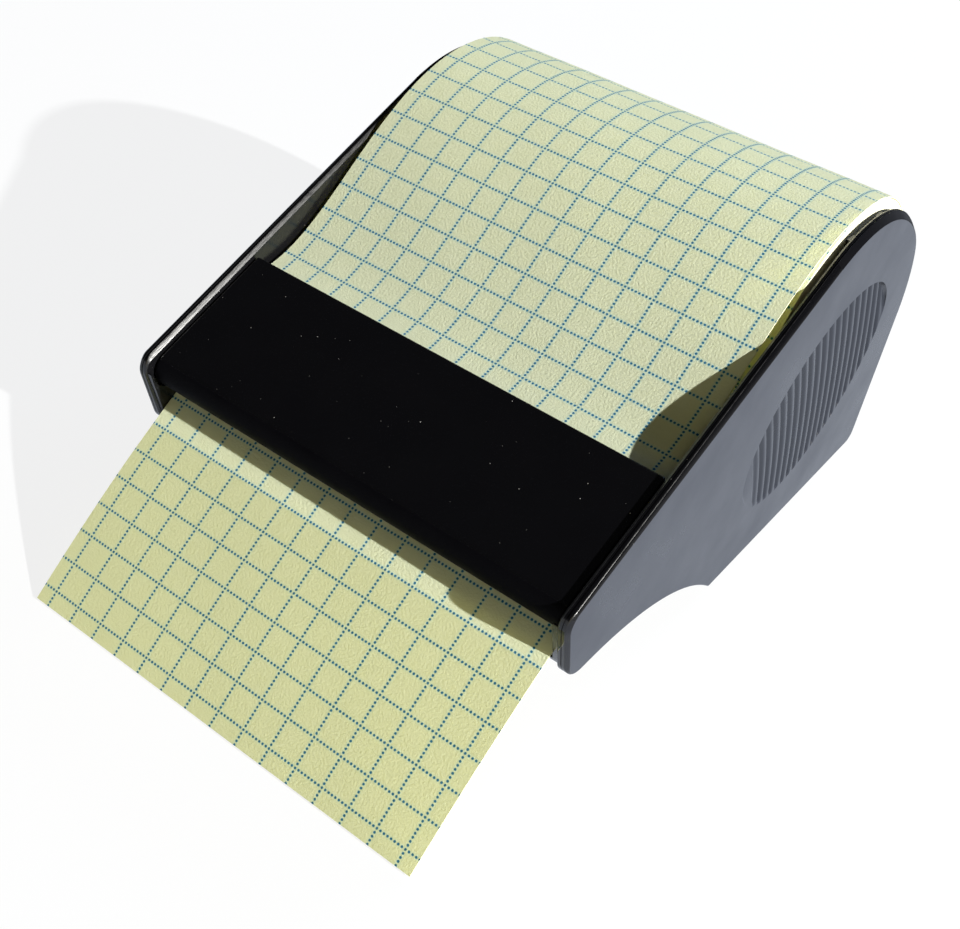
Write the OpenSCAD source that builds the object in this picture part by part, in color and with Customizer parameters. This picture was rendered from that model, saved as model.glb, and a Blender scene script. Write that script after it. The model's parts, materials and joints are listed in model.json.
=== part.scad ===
// Desk dispenser for a roll of ruled sticky note paper.
// The paper leaves the top of the roll, bends over a guide roller, runs under a hinged bar
// and hangs out of the nose down to the table.
// Millimetres. X runs across the paper, -Y is the front, +Z is up.
// The origin is on the table, straight below the axis of the roll.

/* [Paper] */
// Width of the note paper
paper_w = 75; // [60:1:90]
// Radius of the paper wound on its core
roll_r = 26.6; // [23:0.2:28]
// Thickness of a loose sheet
sheet_t = 0.3; // [0.2:0.05:0.4]
// Air between a loose sheet and a part that turns
sheet_gap = 0.3; // [0.2:0.05:0.5]
// Outer radius of the cardboard core
core_r = 13; // [11:0.5:15]
// Wall of the cardboard core
core_t = 1.5; // [1:0.1:2.5]
// Slope at which the hanging note meets the table, in degrees
tail_tip_slope = 42; // [39:1:50]
// How far the loose sheet keeps to the direction of the roll
lead_bulge = 23.5; // [16:0.5:28]
// How far the loose sheet keeps to the direction of the guide
lead_settle = 16; // [10:0.5:20]
// Slope of the loose sheet where it reaches the guide, in degrees
lead_in_slope = 10; // [4:1:16]
// Angle round the back of the roll where the outer wrap begins, in degrees
wrap_start = -35; // [-50:5:20]
// Angle at the top of the roll where the sheet lifts off, in degrees
wrap_end = 88; // [80:1:95]

/* [Side panels] */
// Thickness of a side panel
panel_t = 1.9; // [1.7:0.1:3]
// Room between the paper edge and a side panel
side_gap = 0.95; // [0.85:0.05:2]
// Reach of the nose in front of the roll axis
nose_reach = 75.2; // [70:0.2:85]
// Height of the top of the nose
nose_top = 31.6; // [29:0.2:36]
// Height of the underside of the nose
nose_low = 17.7; // [14:0.1:19]
// Lean of the front of the nose, in degrees
nose_lean = 14; // [4:1:20]
// Depth of the foremost line of the nose below its top
nose_brow = 2.1; // [1:0.1:3]
// Rounding at the top of the nose
nose_top_round = 3; // [1.5:0.1:4]
// Rounding under the nose
nose_low_round = 4.5; // [2:0.1:5]
// Rounding over the back of the roll
rear_round = 29.4; // [24:0.2:30]
// Height of the roll that shows above the panels
roll_proud = 1.4; // [0.8:0.1:4]
// Cover of the panels behind the roll
rear_cover = 2; // [0.4:0.1:4]
// Radius of the arch under the nose
arch_r = 61; // [50:1:80]
// Reach of the flat foot in front of the roll axis
foot_reach = 26.5; // [24:0.5:32]
// Rounding at the back of the foot
foot_round = 2; // [1:0.1:3]

/* [Finger grips] */
// Grip centre in front of the roll axis
grip_front = 3.2; // [0:0.2:8]
// Grip centre above the table
grip_z = 29.8; // [28:0.2:34]
// Half length of the oval
grip_a = 22.5; // [16:0.5:23.5]
// Half height of the oval
grip_b = 16.2; // [9:0.2:16.6]
// Depth of the oval recess
grip_depth = 1.1; // [0.6:0.1:1.2]
// Height of a grip rib above the recess floor
grip_rib_h = 0.7; // [0.3:0.1:0.8]
// Distance from rib to rib
grip_pitch = 2.05; // [1.6:0.05:4]
// Width of a rib
grip_rib_w = 1.1; // [0.6:0.1:1.4]
// Radius of the curve of the ribs
grip_curve_r = 120; // [90:1:160]
// Direction from the ribs to the middle of their curve, in degrees
grip_curve_dir = 203; // [195:1:225]

/* [Base] */
// Height of the panels above the table, given by the pad
pad_proud = 2.5; // [1.5:0.1:4]
// Length of the non-slip pad
pad_l = 34; // [24:1:40]
// Room between the pad and the screws beside it
pad_margin = 3; // [2:0.5:8]
// Set-back of the tray from the edges of the panels
tray_inset = 0.5; // [0.3:0.1:1.5]
// Wall of the tray
tray_wall = 2.6; // [2.2:0.1:3.2]
// Top of the low wall behind the roll, above the table
rear_wall_top = 17; // [10:0.5:18]
// Room between the roll and the tray floor
roll_floor_gap = 2.1; // [1:0.1:5]
// Depth of the nose piece, from the front
nose_depth = 13; // [11:0.5:15]
// Wall of the nose piece
platen_wall = 1.8; // [1.4:0.1:2.4]
// Room between the nose piece and the paper
platen_gap = 1.2; // [1:0.1:1.6]
// Height of the runners on the nose piece
runner_h = 0.6; // [0.3:0.1:0.8]
// Number of runners on the nose piece
runner_n = 5; // [3:2:9]
// Height of the paper above the underside of the nose where it leaves
exit_rise = 2.9; // [2.6:0.1:4.5]
// Depth of the ballast bar
ballast_d = 12; // [8:0.5:13]
// Height of the ballast bar
ballast_h = 9; // [6:0.5:10]

/* [Bar] */
// Drop of the bar below the edge of the panels
flap_drop = 1; // [0.5:0.1:1.5]
// Thickness of the bar
flap_t = 1.9; // [1.5:0.1:2.4]
// Length of the bar from front to back
flap_len = 25.3; // [22:0.1:27]
// Reach of the bar in front of its hinge
flap_lead = 3.2; // [3:0.1:3.6]
// Radius of the curl at the front of the bar
flap_curl_r = 3; // [2.6:0.1:3.4]
// Turn of the curl from the flat of the bar to its tearing edge, in degrees
flap_curl = 110; // [90:5:120]
// Room between the ends of the bar and the panels
flap_end_gap = 0.35; // [0.25:0.05:0.45]
// Rounding of the back corners of the bar
flap_round = 0.6; // [0.3:0.1:2]
// Set-back of the hinge from the front of the nose, along the slope
hinge_setback = 3.4; // [3:0.1:4.5]
// Radius of a hinge pin
pin_r = 1.25; // [1:0.05:1.5]
// Wall of a hinge knuckle
knuckle_wall = 1; // [0.8:0.1:1.4]
// Length of a hinge knuckle
knuckle_l = 7; // [5:0.5:10]

/* [Turning parts] */
// Radius of the hub journals
journal_r = 4; // [3:0.1:6]
// Radius of the guide roller
guide_r = 4; // [3:0.1:4.5]
// Radius of the guide axle
guide_axle_r = 1.5; // [1:0.1:2]
// Rings on the guide roller, from ring to ring
ring_pitch = 5; // [3:0.5:10]
// Running clearance of a journal or bore, on the radius
run_gap = 0.07; // [0.03:0.01:0.09]
// Clearance of parts pushed together, on the radius
push_gap = 0.03; // [0.01:0.01:0.05]

/* [Hidden] */
$fn = 64;

// Colours of the finishes
gloss_black = "#0b0b0e";
satin_black = "#202126";
pad_black = "#2b2b2b";
steel_grey = "#b4b6b8";
note_yellow = "#dde3ae";
board_brown = "#b09468";

// Overlap that fuses two shapes of one moulding
fuse = 0.2;
// Overrun of a cut past the face that it opens
over = 1;
// Distance between a chord and the arc that it stands for
arc_sag = 0.01;
// Smallest rounding of a corner that is set in
round_min = 0.3;
// Facets of the large circles
fine_fn = 180;

// Widths
inner_half = paper_w / 2 + side_gap;
outer_half = inner_half + panel_t;

// Heights of the base, the roll and the panels
floor_z = pad_proud + tray_inset;
floor_top = floor_z + tray_wall;
axis_z = floor_top + roll_floor_gap + roll_r;
panel_top = axis_z + roll_r + sheet_gap + sheet_t - roll_proud;
rear_y = roll_r + rear_cover;
// Plane where the nose piece meets the tray
nose_joint = -nose_reach + nose_depth;

// Panel outline: the rear round, and the straight top edge that runs from the nose tangent to it
rear_c = [rear_y - rear_round, panel_top - rear_round];
nose_tip = [-nose_reach, nose_top];
to_rear = rear_c - nose_tip;
slope = atan2(to_rear.y, to_rear.x) + asin(rear_round / norm(to_rear));
brow = [-nose_reach, nose_top - nose_brow];

// Inward normals of the top edge, of the front of the nose and of its underside
top_in = [sin(slope), -cos(slope)];
front_in = [cos(nose_lean), sin(nose_lean)];
low_in = [0, 1];

// Arch under the nose
arch_c = [
    -foot_reach - sqrt(arch_r * arch_r - pow(arch_r - nose_low + pad_proud, 2)),
    nose_low - arch_r
];

// Frame of the sloping top: u runs up the slope from above the hinge, n is square to it
slope_o = nose_tip + hinge_setback * [cos(slope), sin(slope)];
function on_slope(u, n) = slope_o + u * [cos(slope), sin(slope)] - n * top_in;

// Bar and hinge, in that frame
flap_half = inner_half - flap_end_gap;
flap_under = -flap_drop - flap_t;
flap_rear = flap_len - flap_lead;
knuckle_r = pin_r + run_gap + knuckle_wall;
// Depth of the knuckles below the top of the bar
knuckle_sink = 0.1;
hinge_n = -flap_drop - knuckle_r - knuckle_sink;
hinge = on_slope(0, hinge_n);
// Middle of the curl at the front of the bar
curl_c = [flap_curl_r - flap_lead, -flap_drop - flap_curl_r];
// Blind holes in the panels, and the wall left behind them
blind_wall = 0.6;
blind = panel_t - blind_wall;

// Guide roller, under the back edge of the bar
press_gap = 0.8;
guide_back = 0.4;
roller_half = paper_w / 2 - sheet_gap;
ring_groove = 0.6;
web_r = guide_r + sheet_gap + sheet_t / 2;
guide_c = on_slope(flap_rear + guide_back, flap_under - press_gap - sheet_t / 2 - web_r);

// Straight run of the paper from the guide roller to the exit
exit_p = [-nose_reach, nose_low + exit_rise];
exit_to_guide = guide_c - exit_p;
exit_slope = atan2(exit_to_guide.y, exit_to_guide.x) + asin(web_r / norm(exit_to_guide));
function web_z(y) = exit_p.y + (y - exit_p.x) * tan(exit_slope);

// Hanging note: a bend that ends just above the table
tail_start_gap = 0.3;
tail_tip_clear = 0.2;
tail_tip_z = tail_tip_clear + sheet_t;
tail_p = exit_p - tail_start_gap * [cos(exit_slope), sin(exit_slope)];
tail_r = (tail_p.y - tail_tip_z) / (cos(exit_slope) - cos(tail_tip_slope));

// Screws in the foot
screw_y = 20;
screw_head_r = 2.5;
screw_head_h = 1.5;
screw_r = 1.4;
screw_l = 5.4;
screw_clear = 0.2;
screw_head_clear = 0.3;
counterbore = 1.6;
boss_r = 3.4;
boss_h = 6;
boss_roof = 1;
screw_x = inner_half - boss_r;
pad_half = screw_x - screw_head_r - pad_margin;
pad_round = 3;

// Ballast in front of the roll, above the highest point of the arch below it, and its cradles
ballast_roll_gap = 5;
ballast_end_gap = 4;
ballast_front = -roll_r - ballast_roll_gap - ballast_d;
ballast_arch_r = arch_r + tray_inset + tray_wall;
ballast_z = arch_c.y + sqrt(pow(ballast_arch_r, 2) - pow(ballast_front - arch_c.x, 2));
cradle_inset = 14;
cradle_t = 2;

// Runners on the nose piece
runner_w = 1.2;
runner_margin = 5;
runner_setback = 4;
platen_guide_gap = 2.5;

// Hubs in the core
core_ir = core_r - core_t;
hub_r = core_ir - push_gap;
hub_l = 10;
hub_wall = 1.6;
hub_end = 2;

// U-shaped seats for the hubs on the panels
seat_r = journal_r + run_gap;
seat_wall = 2;
seat_clear = 0.2;
seat_h = side_gap - seat_clear;
end_play = 0.1;

// Ledges on the panels that the bar closes on
ledge_clear = 0.3;
ledge_w = side_gap - ledge_clear;
ledge_h = 1.2;
ledge_gap = 0.15;
ledge_knuckle_gap = 2;

// A point at the angle a on a circle
function on_circle(c, r, a) = c + r * [cos(a), sin(a)];

// Points on an arc from angle a0 to a1
function arc(c, r, a0, a1) =
    let (n = ceil(abs(a1 - a0) / (2 * acos(1 - arc_sag / r))))
    [for (i = [0:n]) on_circle(c, r, a0 + (a1 - a0) * i / n)];

// Where two lines cross, each given by a point and its normal
function cross_point(p, m, q, k) =
    let (d = m.x * k.y - m.y * k.x, a = m * p, b = k * q)
    [(a * k.y - b * m.y) / d, (b * m.x - a * k.x) / d];

// Outline of a side panel seen from the right, set in by g
function side_outline(g = 0) =
    let (
        r_top = max(nose_top_round - g, round_min),
        r_low = max(nose_low_round - g, round_min),
        r_foot = max(foot_round - g, round_min),
        in_top = g + r_top,
        in_low = g + r_low,
        c_top = cross_point(nose_tip + in_top * top_in, top_in, brow + in_top * front_in, front_in),
        c_low = cross_point(brow + in_low * front_in, front_in, [0, nose_low + in_low], low_in),
        c_foot = [rear_y - g - r_foot, pad_proud + g + r_foot],
        arch_end = asin((pad_proud + g - arch_c.y) / (arch_r + g))
    )
    concat(
        arc(rear_c, rear_round - g, 0, 90 + slope),
        arc(c_top, r_top, 90 + slope, 180 + nose_lean),
        arc(c_low, r_low, 180 + nose_lean, 270),
        arc(arch_c, arch_r + g, 90, arch_end),
        arc(c_foot, r_foot, 270, 360)
    );

// Path of the loose sheet: wrap round the roll, free bow, guide roller, straight run to the exit
wrap_r = roll_r + sheet_gap + sheet_t / 2;
bow_steps = 20;
function bow(t) =
    let (
        p0 = on_circle([0, axis_z], wrap_r, wrap_end),
        p3 = on_circle(guide_c, web_r, 90 + lead_in_slope),
        p1 = p0 + lead_bulge * [-sin(wrap_end), cos(wrap_end)],
        p2 = p3 + lead_settle * [cos(lead_in_slope), sin(lead_in_slope)],
        s = 1 - t
    )
    s * s * s * p0 + 3 * s * s * t * p1 + 3 * s * t * t * p2 + t * t * t * p3;
lead_path = concat(
    arc([0, axis_z], wrap_r, wrap_start, wrap_end),
    [for (i = [1:bow_steps - 1]) bow(i / bow_steps)],
    arc(guide_c, web_r, 90 + lead_in_slope, 90 + exit_slope),
    [exit_p]
);

// Path of the hanging note, by the slope that it has reached
tail_steps = 12;
tail_path = [
    for (i = [0:tail_steps])
    let (a = exit_slope + (tail_tip_slope - exit_slope) * i / tail_steps)
    tail_p - tail_r * [sin(a) - sin(exit_slope), cos(exit_slope) - cos(a)]
];

// Unit normal of a path at point i
function path_normal(p, i) =
    let (d = p[min(i + 1, len(p) - 1)] - p[max(i - 1, 0)])
    [-d.y, d.x] / norm(d);

// Outline of a sheet of thickness t along a path
function sheet_outline(p, t) = concat(
    [for (i = [0:len(p) - 1]) p[i] + path_normal(p, i) * t / 2],
    [for (i = [len(p) - 1:-1:0]) p[i] - path_normal(p, i) * t / 2]
);

// Shapes shared by several parts

// Draws a Y-Z profile from x = x0 to x = x1
module across(x0, x1) {
    translate([x0, 0, 0])
        rotate([90, 0, 90])
            linear_extrude(x1 - x0)
                children();
}

// A cylinder along X from x0 to x1, with its axis at the Y-Z point p
module rod(p, r, x0, x1) {
    translate([x0, p.x, p.y])
        rotate([0, 90, 0])
            cylinder(r = r, h = x1 - x0);
}

// Places children in the frame of the sloping top
module in_slope() {
    translate([0, slope_o.x, slope_o.y])
        rotate([slope, 0, 0])
            children();
}

// Draws children, and their mirror image on the left
module both_sides() {
    children();
    mirror([1, 0, 0])
        children();
}

// A rectangle with rounded corners, about the origin
module rounded_plate(w, l, r) {
    square([w - 2 * r, l], center = true);
    square([w, l - 2 * r], center = true);
    for (side = [-1, 1], end = [-1, 1])
        translate([side * (w / 2 - r), end * (l / 2 - r)])
            circle(r);
}

// Region below the straight run of the paper, by the drop square to it
module below_web(drop, y0, y1) {
    dz = drop / cos(exit_slope);
    polygon([[y0, web_z(y0) - dz], [y1, web_z(y1) - dz], [y1, 0], [y0, 0]]);
}

// Finger grip as Y-Z shapes: the ribs run a little into the wall of the recess
grip_c = [-grip_front, grip_z];
grip_curve_c = on_circle(grip_c, grip_curve_r, grip_curve_dir);
grip_steps = 48;

// Outline of the recess, grown by g
module grip_oval(g = 0) {
    translate(grip_c)
        rotate(slope)
            polygon([
                for (i = [0:grip_steps - 1])
                let (a = 360 * i / grip_steps)
                [(grip_a + g) * cos(a), (grip_b + g) * sin(a)]
            ]);
}

module grip_ribs() {
    n = floor(grip_a / grip_pitch) - 1;
    for (i = [-n:n])
        intersection() {
            grip_oval(fuse);
            translate(grip_curve_c)
                difference() {
                    circle(grip_curve_r + i * grip_pitch + grip_rib_w / 2, $fn = fine_fn);
                    circle(grip_curve_r + i * grip_pitch - grip_rib_w / 2, $fn = fine_fn);
                }
        }
}

// U-shaped seat, open at the top, as a Y-Z shape
module seat_shape() {
    reach = panel_top - axis_z;
    intersection() {
        polygon(side_outline(over));
        translate([0, axis_z])
            difference() {
                union() {
                    circle(seat_r + seat_wall);
                    translate([-seat_r - seat_wall, 0])
                        square([2 * (seat_r + seat_wall), reach]);
                }
                circle(seat_r);
                translate([-seat_r, 0])
                    square([2 * seat_r, reach + over]);
            }
    }
}

// Sub-parts

module side_panel() {
    ledge_u = knuckle_r + ledge_knuckle_gap;
    ledge_l = flap_rear - ledge_u;
    difference() {
        union() {
            across(inner_half, outer_half)
                polygon(side_outline());
            across(inner_half - seat_h, inner_half + fuse)
                seat_shape();
            in_slope()
                translate([inner_half - ledge_w, ledge_u, flap_under - ledge_gap - ledge_h])
                    cube([ledge_w + fuse, ledge_l, ledge_h]);
            for (y = [-screw_y, screw_y])
                translate([screw_x, y, floor_top]) {
                    cylinder(r = boss_r, h = boss_h);
                    translate([0, -boss_r, 0])
                        cube([boss_r + fuse, 2 * boss_r, boss_h]);
                }
        }
        across(outer_half - grip_depth, outer_half + over)
            grip_oval();
        rod(hinge, pin_r + push_gap, inner_half - over, inner_half + blind);
        rod(guide_c, guide_axle_r + push_gap, inner_half - over, inner_half + blind);
        for (y = [-screw_y, screw_y])
            translate([screw_x, y, floor_top - over])
                cylinder(r = screw_r + push_gap, h = over + boss_h - boss_roof);
    }
    across(outer_half - grip_depth - fuse, outer_half - grip_depth + grip_rib_h)
        grip_ribs();
}

module right_side_panel() {
    color(satin_black)
        side_panel();
}

module left_side_panel() {
    color(satin_black)
        mirror([1, 0, 0])
            side_panel();
}

// Floor, low rear wall and arched underside, with two cradles for the ballast bar
module base_tray() {
    brow_z = nose_top - nose_brow;
    roll_low = axis_z - roll_r;
    cradle_x = inner_half - cradle_inset;
    color(satin_black)
        difference() {
            union() {
                across(-inner_half, inner_half)
                    intersection() {
                        difference() {
                            polygon(side_outline(tray_inset));
                            polygon(side_outline(tray_inset + tray_wall));
                        }
                        polygon([
                            [nose_joint, 0], [rear_y, 0], [rear_y, rear_wall_top],
                            [0, rear_wall_top], [0, roll_low], [-foot_reach, roll_low],
                            [-foot_reach, brow_z], [nose_joint, brow_z]
                        ]);
                    }
                for (x = [-cradle_x, cradle_x])
                    across(x - cradle_t / 2, x + cradle_t / 2)
                        difference() {
                            translate([ballast_front, floor_z])
                                square([ballast_d, ballast_z - floor_z]);
                            translate(arch_c)
                                circle(arch_r + tray_inset + fuse, $fn = fine_fn);
                        }
            }
            for (x = [-screw_x, screw_x], y = [-screw_y, screw_y])
                translate([x, y, 0]) {
                    cylinder(r = screw_r + screw_clear, h = floor_top + over);
                    cylinder(r = screw_head_r + screw_head_clear, h = floor_z + counterbore);
                }
        }
}

module ballast_bar() {
    ballast_half = inner_half - ballast_end_gap;
    color(steel_grey)
        translate([-ballast_half, ballast_front, ballast_z])
            cube([2 * ballast_half, ballast_d, ballast_h]);
}

module non_slip_pad() {
    color(pad_black)
        linear_extrude(floor_z)
            rounded_plate(2 * pad_half, pad_l, pad_round);
}

module base_screws() {
    color(steel_grey)
        for (x = [-screw_x, screw_x], y = [-screw_y, screw_y])
            translate([x, y, floor_z + counterbore]) {
                translate([0, 0, -screw_head_h])
                    cylinder(r = screw_head_r, h = screw_head_h);
                cylinder(r = screw_r, h = screw_l);
            }
}

// Hollow nose piece with a sloping top that the paper runs over on runners
module nose_platen() {
    top_drop = platen_gap + sheet_t / 2;
    back_y = guide_c.x - guide_r - platen_guide_gap;
    front_y = -nose_reach + runner_setback;
    run_l = (back_y - front_y) / cos(exit_slope);
    runner_span = paper_w - 2 * runner_margin;
    color(gloss_black) {
        across(-inner_half, inner_half) {
            difference() {
                intersection() {
                    polygon(side_outline(tray_inset));
                    below_web(top_drop, -nose_reach - over, nose_joint);
                }
                intersection() {
                    polygon(side_outline(tray_inset + platen_wall));
                    below_web(top_drop + platen_wall, -nose_reach - over, nose_joint + over);
                }
            }
            difference() {
                below_web(top_drop, nose_joint - fuse, back_y);
                below_web(top_drop + platen_wall, nose_joint - over, back_y + over);
            }
        }
        for (i = [0:runner_n - 1])
            translate([(i / (runner_n - 1) - 0.5) * runner_span, front_y, web_z(front_y)])
                rotate([exit_slope, 0, 0])
                    translate([-runner_w / 2, 0, -top_drop - fuse])
                        cube([runner_w, run_l, runner_h + fuse]);
    }
}

// Plan of the bar, with rounded back corners
module bar_plan() {
    translate([0, flap_len / 2 - flap_lead])
        rounded_plate(2 * flap_half, flap_len, flap_round);
    translate([-flap_half, -flap_lead])
        square([2 * flap_half, flap_len / 2]);
}

// The bar: a plate whose front curls down to a tearing edge, with two hinge knuckles in the curl
module tear_bar() {
    curl_end = 90 + flap_curl;
    section = concat(
        arc(curl_c, flap_curl_r, 90, curl_end),
        arc(curl_c, flap_curl_r - flap_t, curl_end, 90),
        [[flap_rear, flap_under], [flap_rear, -flap_drop]]
    );
    color(gloss_black)
        in_slope()
            difference() {
                union() {
                    intersection() {
                        across(-flap_half, flap_half)
                            polygon(section);
                        translate([0, 0, curl_c.y - flap_curl_r - over])
                            linear_extrude(2 * (flap_curl_r + over))
                                bar_plan();
                    }
                    both_sides()
                        rod([0, hinge_n], knuckle_r, flap_half - knuckle_l, flap_half);
                }
                both_sides()
                    rod([0, hinge_n], pin_r + run_gap, flap_half - knuckle_l - over, flap_half + over);
            }
}

module right_hinge_pin() {
    color(steel_grey)
        rod(hinge, pin_r, flap_half - knuckle_l, inner_half + blind);
}

module left_hinge_pin() {
    color(steel_grey)
        mirror([1, 0, 0])
            rod(hinge, pin_r, flap_half - knuckle_l, inner_half + blind);
}

// Roller with raised rings, so that little of the sticky side touches it
module guide_roller() {
    ring_w = ring_pitch / 2;
    n = floor((roller_half - ring_w / 2) / ring_pitch);
    color(satin_black)
        difference() {
            union() {
                rod(guide_c, guide_r - ring_groove, -roller_half, roller_half);
                for (i = [-n:n])
                    rod(guide_c, guide_r, i * ring_pitch - ring_w / 2, i * ring_pitch + ring_w / 2);
            }
            rod(guide_c, guide_axle_r + run_gap, -roller_half - over, roller_half + over);
        }
}

module guide_axle() {
    color(steel_grey)
        rod(guide_c, guide_axle_r, -inner_half - blind, inner_half + blind);
}

module paper_roll() {
    color(note_yellow)
        difference() {
            rod([0, axis_z], roll_r, -paper_w / 2, paper_w / 2);
            rod([0, axis_z], core_r + push_gap, -paper_w / 2 - over, paper_w / 2 + over);
        }
}

module roll_core() {
    color(board_brown)
        difference() {
            rod([0, axis_z], core_r, -paper_w / 2, paper_w / 2);
            rod([0, axis_z], core_ir, -paper_w / 2 - over, paper_w / 2 + over);
        }
}

// Cup-shaped plug in the end of the core, with a journal that drops into the seat
module hub() {
    axis = [0, axis_z];
    end = paper_w / 2;
    difference() {
        rod(axis, hub_r, end - hub_l, end);
        rod(axis, hub_r - hub_wall, end - hub_l - over, end - hub_end);
    }
    rod(axis, journal_r, end - fuse, inner_half - end_play);
}

module right_hub() {
    color(gloss_black)
        hub();
}

module left_hub() {
    color(gloss_black)
        mirror([1, 0, 0])
            hub();
}

module paper_lead() {
    color(note_yellow)
        across(-paper_w / 2, paper_w / 2)
            polygon(sheet_outline(lead_path, sheet_t));
}

module note_tail() {
    color(note_yellow)
        across(-paper_w / 2, paper_w / 2)
            polygon(sheet_outline(tail_path, sheet_t));
}

left_side_panel();
right_side_panel();
base_tray();
non_slip_pad();
base_screws();
ballast_bar();
nose_platen();
tear_bar();
left_hinge_pin();
right_hinge_pin();
guide_roller();
guide_axle();
paper_roll();
roll_core();
left_hub();
right_hub();
paper_lead();
note_tail();
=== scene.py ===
"""Looks of a desk dispenser for a roll of ruled sticky notes.

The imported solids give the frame, in metres: X runs across the paper, -Y is the front, +Z is up.
The side panels, the bar, the wound roll and the loose paper are meshes made here in that frame.
The other solids stay as they are and get a finish. Sizes in the classes are in millimetres.
"""

from __future__ import annotations

import json
import logging
import math
from dataclasses import dataclass
from enum import Enum
from typing import Sequence

import bmesh
import bpy
import numpy as np
from mathutils import Matrix, Vector
from mathutils.geometry import tessellate_polygon

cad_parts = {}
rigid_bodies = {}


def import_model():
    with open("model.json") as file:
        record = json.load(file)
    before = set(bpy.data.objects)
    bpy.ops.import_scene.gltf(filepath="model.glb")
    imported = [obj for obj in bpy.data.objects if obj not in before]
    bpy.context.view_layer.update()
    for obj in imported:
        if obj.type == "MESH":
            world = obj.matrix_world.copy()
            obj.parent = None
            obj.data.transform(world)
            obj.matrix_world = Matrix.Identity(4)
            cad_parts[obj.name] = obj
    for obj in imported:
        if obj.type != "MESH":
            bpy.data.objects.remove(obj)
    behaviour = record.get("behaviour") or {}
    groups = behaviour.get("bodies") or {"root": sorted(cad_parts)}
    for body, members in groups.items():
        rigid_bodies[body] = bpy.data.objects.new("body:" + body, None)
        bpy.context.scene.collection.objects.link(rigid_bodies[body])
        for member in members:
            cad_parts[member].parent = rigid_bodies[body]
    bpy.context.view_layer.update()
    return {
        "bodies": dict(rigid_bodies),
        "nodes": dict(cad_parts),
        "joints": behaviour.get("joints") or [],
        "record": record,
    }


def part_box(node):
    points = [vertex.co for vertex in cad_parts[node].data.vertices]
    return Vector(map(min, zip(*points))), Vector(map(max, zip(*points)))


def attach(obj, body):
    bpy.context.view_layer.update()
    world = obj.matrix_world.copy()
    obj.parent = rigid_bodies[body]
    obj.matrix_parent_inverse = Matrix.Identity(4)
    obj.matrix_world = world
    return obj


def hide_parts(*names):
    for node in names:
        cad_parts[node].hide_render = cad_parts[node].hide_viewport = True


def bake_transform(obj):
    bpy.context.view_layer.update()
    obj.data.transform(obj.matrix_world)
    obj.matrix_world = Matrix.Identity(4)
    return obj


LOG = logging.getLogger("dispenser")
MM = 0.001
IMAGE_W = 960
IMAGE_H = 929
SHEET_MAP = "sheet_mm"

Piece = bpy.types.Object
Finish = bpy.types.Material
Tree = bpy.types.NodeTree
Node = bpy.types.Node
Socket = bpy.types.NodeSocket
Spot = tuple[float, float, float]


class Side(Enum):
    """The two ends of the dispenser, as the sign of X."""

    LEFT = -1
    RIGHT = 1


class PanelFace(Enum):
    """Faces of a side panel, as the number of their material slot."""

    INSIDE = 0
    OUTSIDE = 1
    RIM = 2
    EDGE = 3
    # Painted shade on the rim's flats along the back: a black that hardly mirrors.
    SHADED_REAR_RIM = 4


class SheetFace(Enum):
    """Faces of a loose sheet, as the number of their material slot."""

    PRINT = 0
    BACK = 1
    EDGE = 2


class Change(Enum):
    """How a tool changes a mesh, as the modifier names it."""

    JOIN = "UNION"
    CUT = "DIFFERENCE"


# Shared helpers


def linear(code: str) -> tuple[float, float, float, float]:
    """Turns an sRGB hex colour into linear light.

    Args:
        code: Six hex digits with a leading hash sign.

    Returns:
        Linear red, green and blue with an alpha of 1.
    """
    channels = [int(code[i:i + 2], 16) / 255 for i in (1, 3, 5)]
    light = [c / 12.92 if c <= 0.04045 else ((c + 0.055) / 1.055) ** 2.4 for c in channels]
    return (light[0], light[1], light[2], 1.0)


def per_mm(size: float) -> float:
    """Gives the texture scale, in metres, of a pattern whose marks are size millimetres apart."""
    return 1 / (size * MM)


def open_socket(sockets: bpy.types.bpy_prop_collection, name: str | int | None = None) -> Socket:
    """Finds a socket that is in use.

    Args:
        sockets: The inputs or the outputs of a node.
        name: Its name or number. Without one it is the first socket in use.

    Returns:
        The socket.
    """
    if isinstance(name, int):
        return sockets[name]
    return next(socket for socket in sockets if socket.enabled and name in (None, socket.name))


def add(tree: Tree, kind: str, inputs: dict | None = None, **settings: object) -> Node:
    """Adds a node to a tree.

    Args:
        tree: The node tree.
        kind: Name of the node type.
        inputs: Sockets by name or number, each with a value, or with an output or a node to link.
        **settings: Properties of the node.

    Returns:
        The new node.
    """
    made = tree.nodes.new(kind)
    for name, value in settings.items():
        setattr(made, name, value)
    for name, value in (inputs or {}).items():
        socket = open_socket(made.inputs, name)
        if isinstance(value, Node):
            value = open_socket(value.outputs)
        if isinstance(value, Socket):
            tree.links.new(value, socket)
        else:
            socket.default_value = value
    return made


def new_finish(name: str) -> tuple[Finish, Tree]:
    """Makes a material that has no nodes yet.

    Args:
        name: Name of the material.

    Returns:
        The material and its node tree.
    """
    finish = bpy.data.materials.new(name)
    finish.use_nodes = True
    finish.node_tree.nodes.clear()
    return finish, finish.node_tree


def let_through(tree: Tree, shader: Node, colour: Node, share: float) -> Node:
    """Lets a material pass on part of the light that falls on it.

    Args:
        tree: The material's nodes.
        shader: The shader that shows the rest of the light.
        colour: Colour of the light that comes through.
        share: How much of the light is passed on.

    Returns:
        The surface that does both.
    """
    passed = add(tree, "ShaderNodeBsdfTranslucent", {"Color": colour})
    return add(tree, "ShaderNodeMixShader", {0: share, 1: shader, 2: passed})


def arc(centre: Sequence[float], radius: float, start: float, end: float, steps: int) -> np.ndarray:
    """Samples an arc in a plane.

    Args:
        centre: Centre of the arc.
        radius: Radius of the arc.
        start: First angle in degrees.
        end: Last angle in degrees.
        steps: Number of chords.

    Returns:
        The points, one per row.
    """
    angles = np.radians(np.linspace(start, end, steps + 1))
    return np.asarray(centre) + radius * np.stack([np.cos(angles), np.sin(angles)], axis=1)


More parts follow.
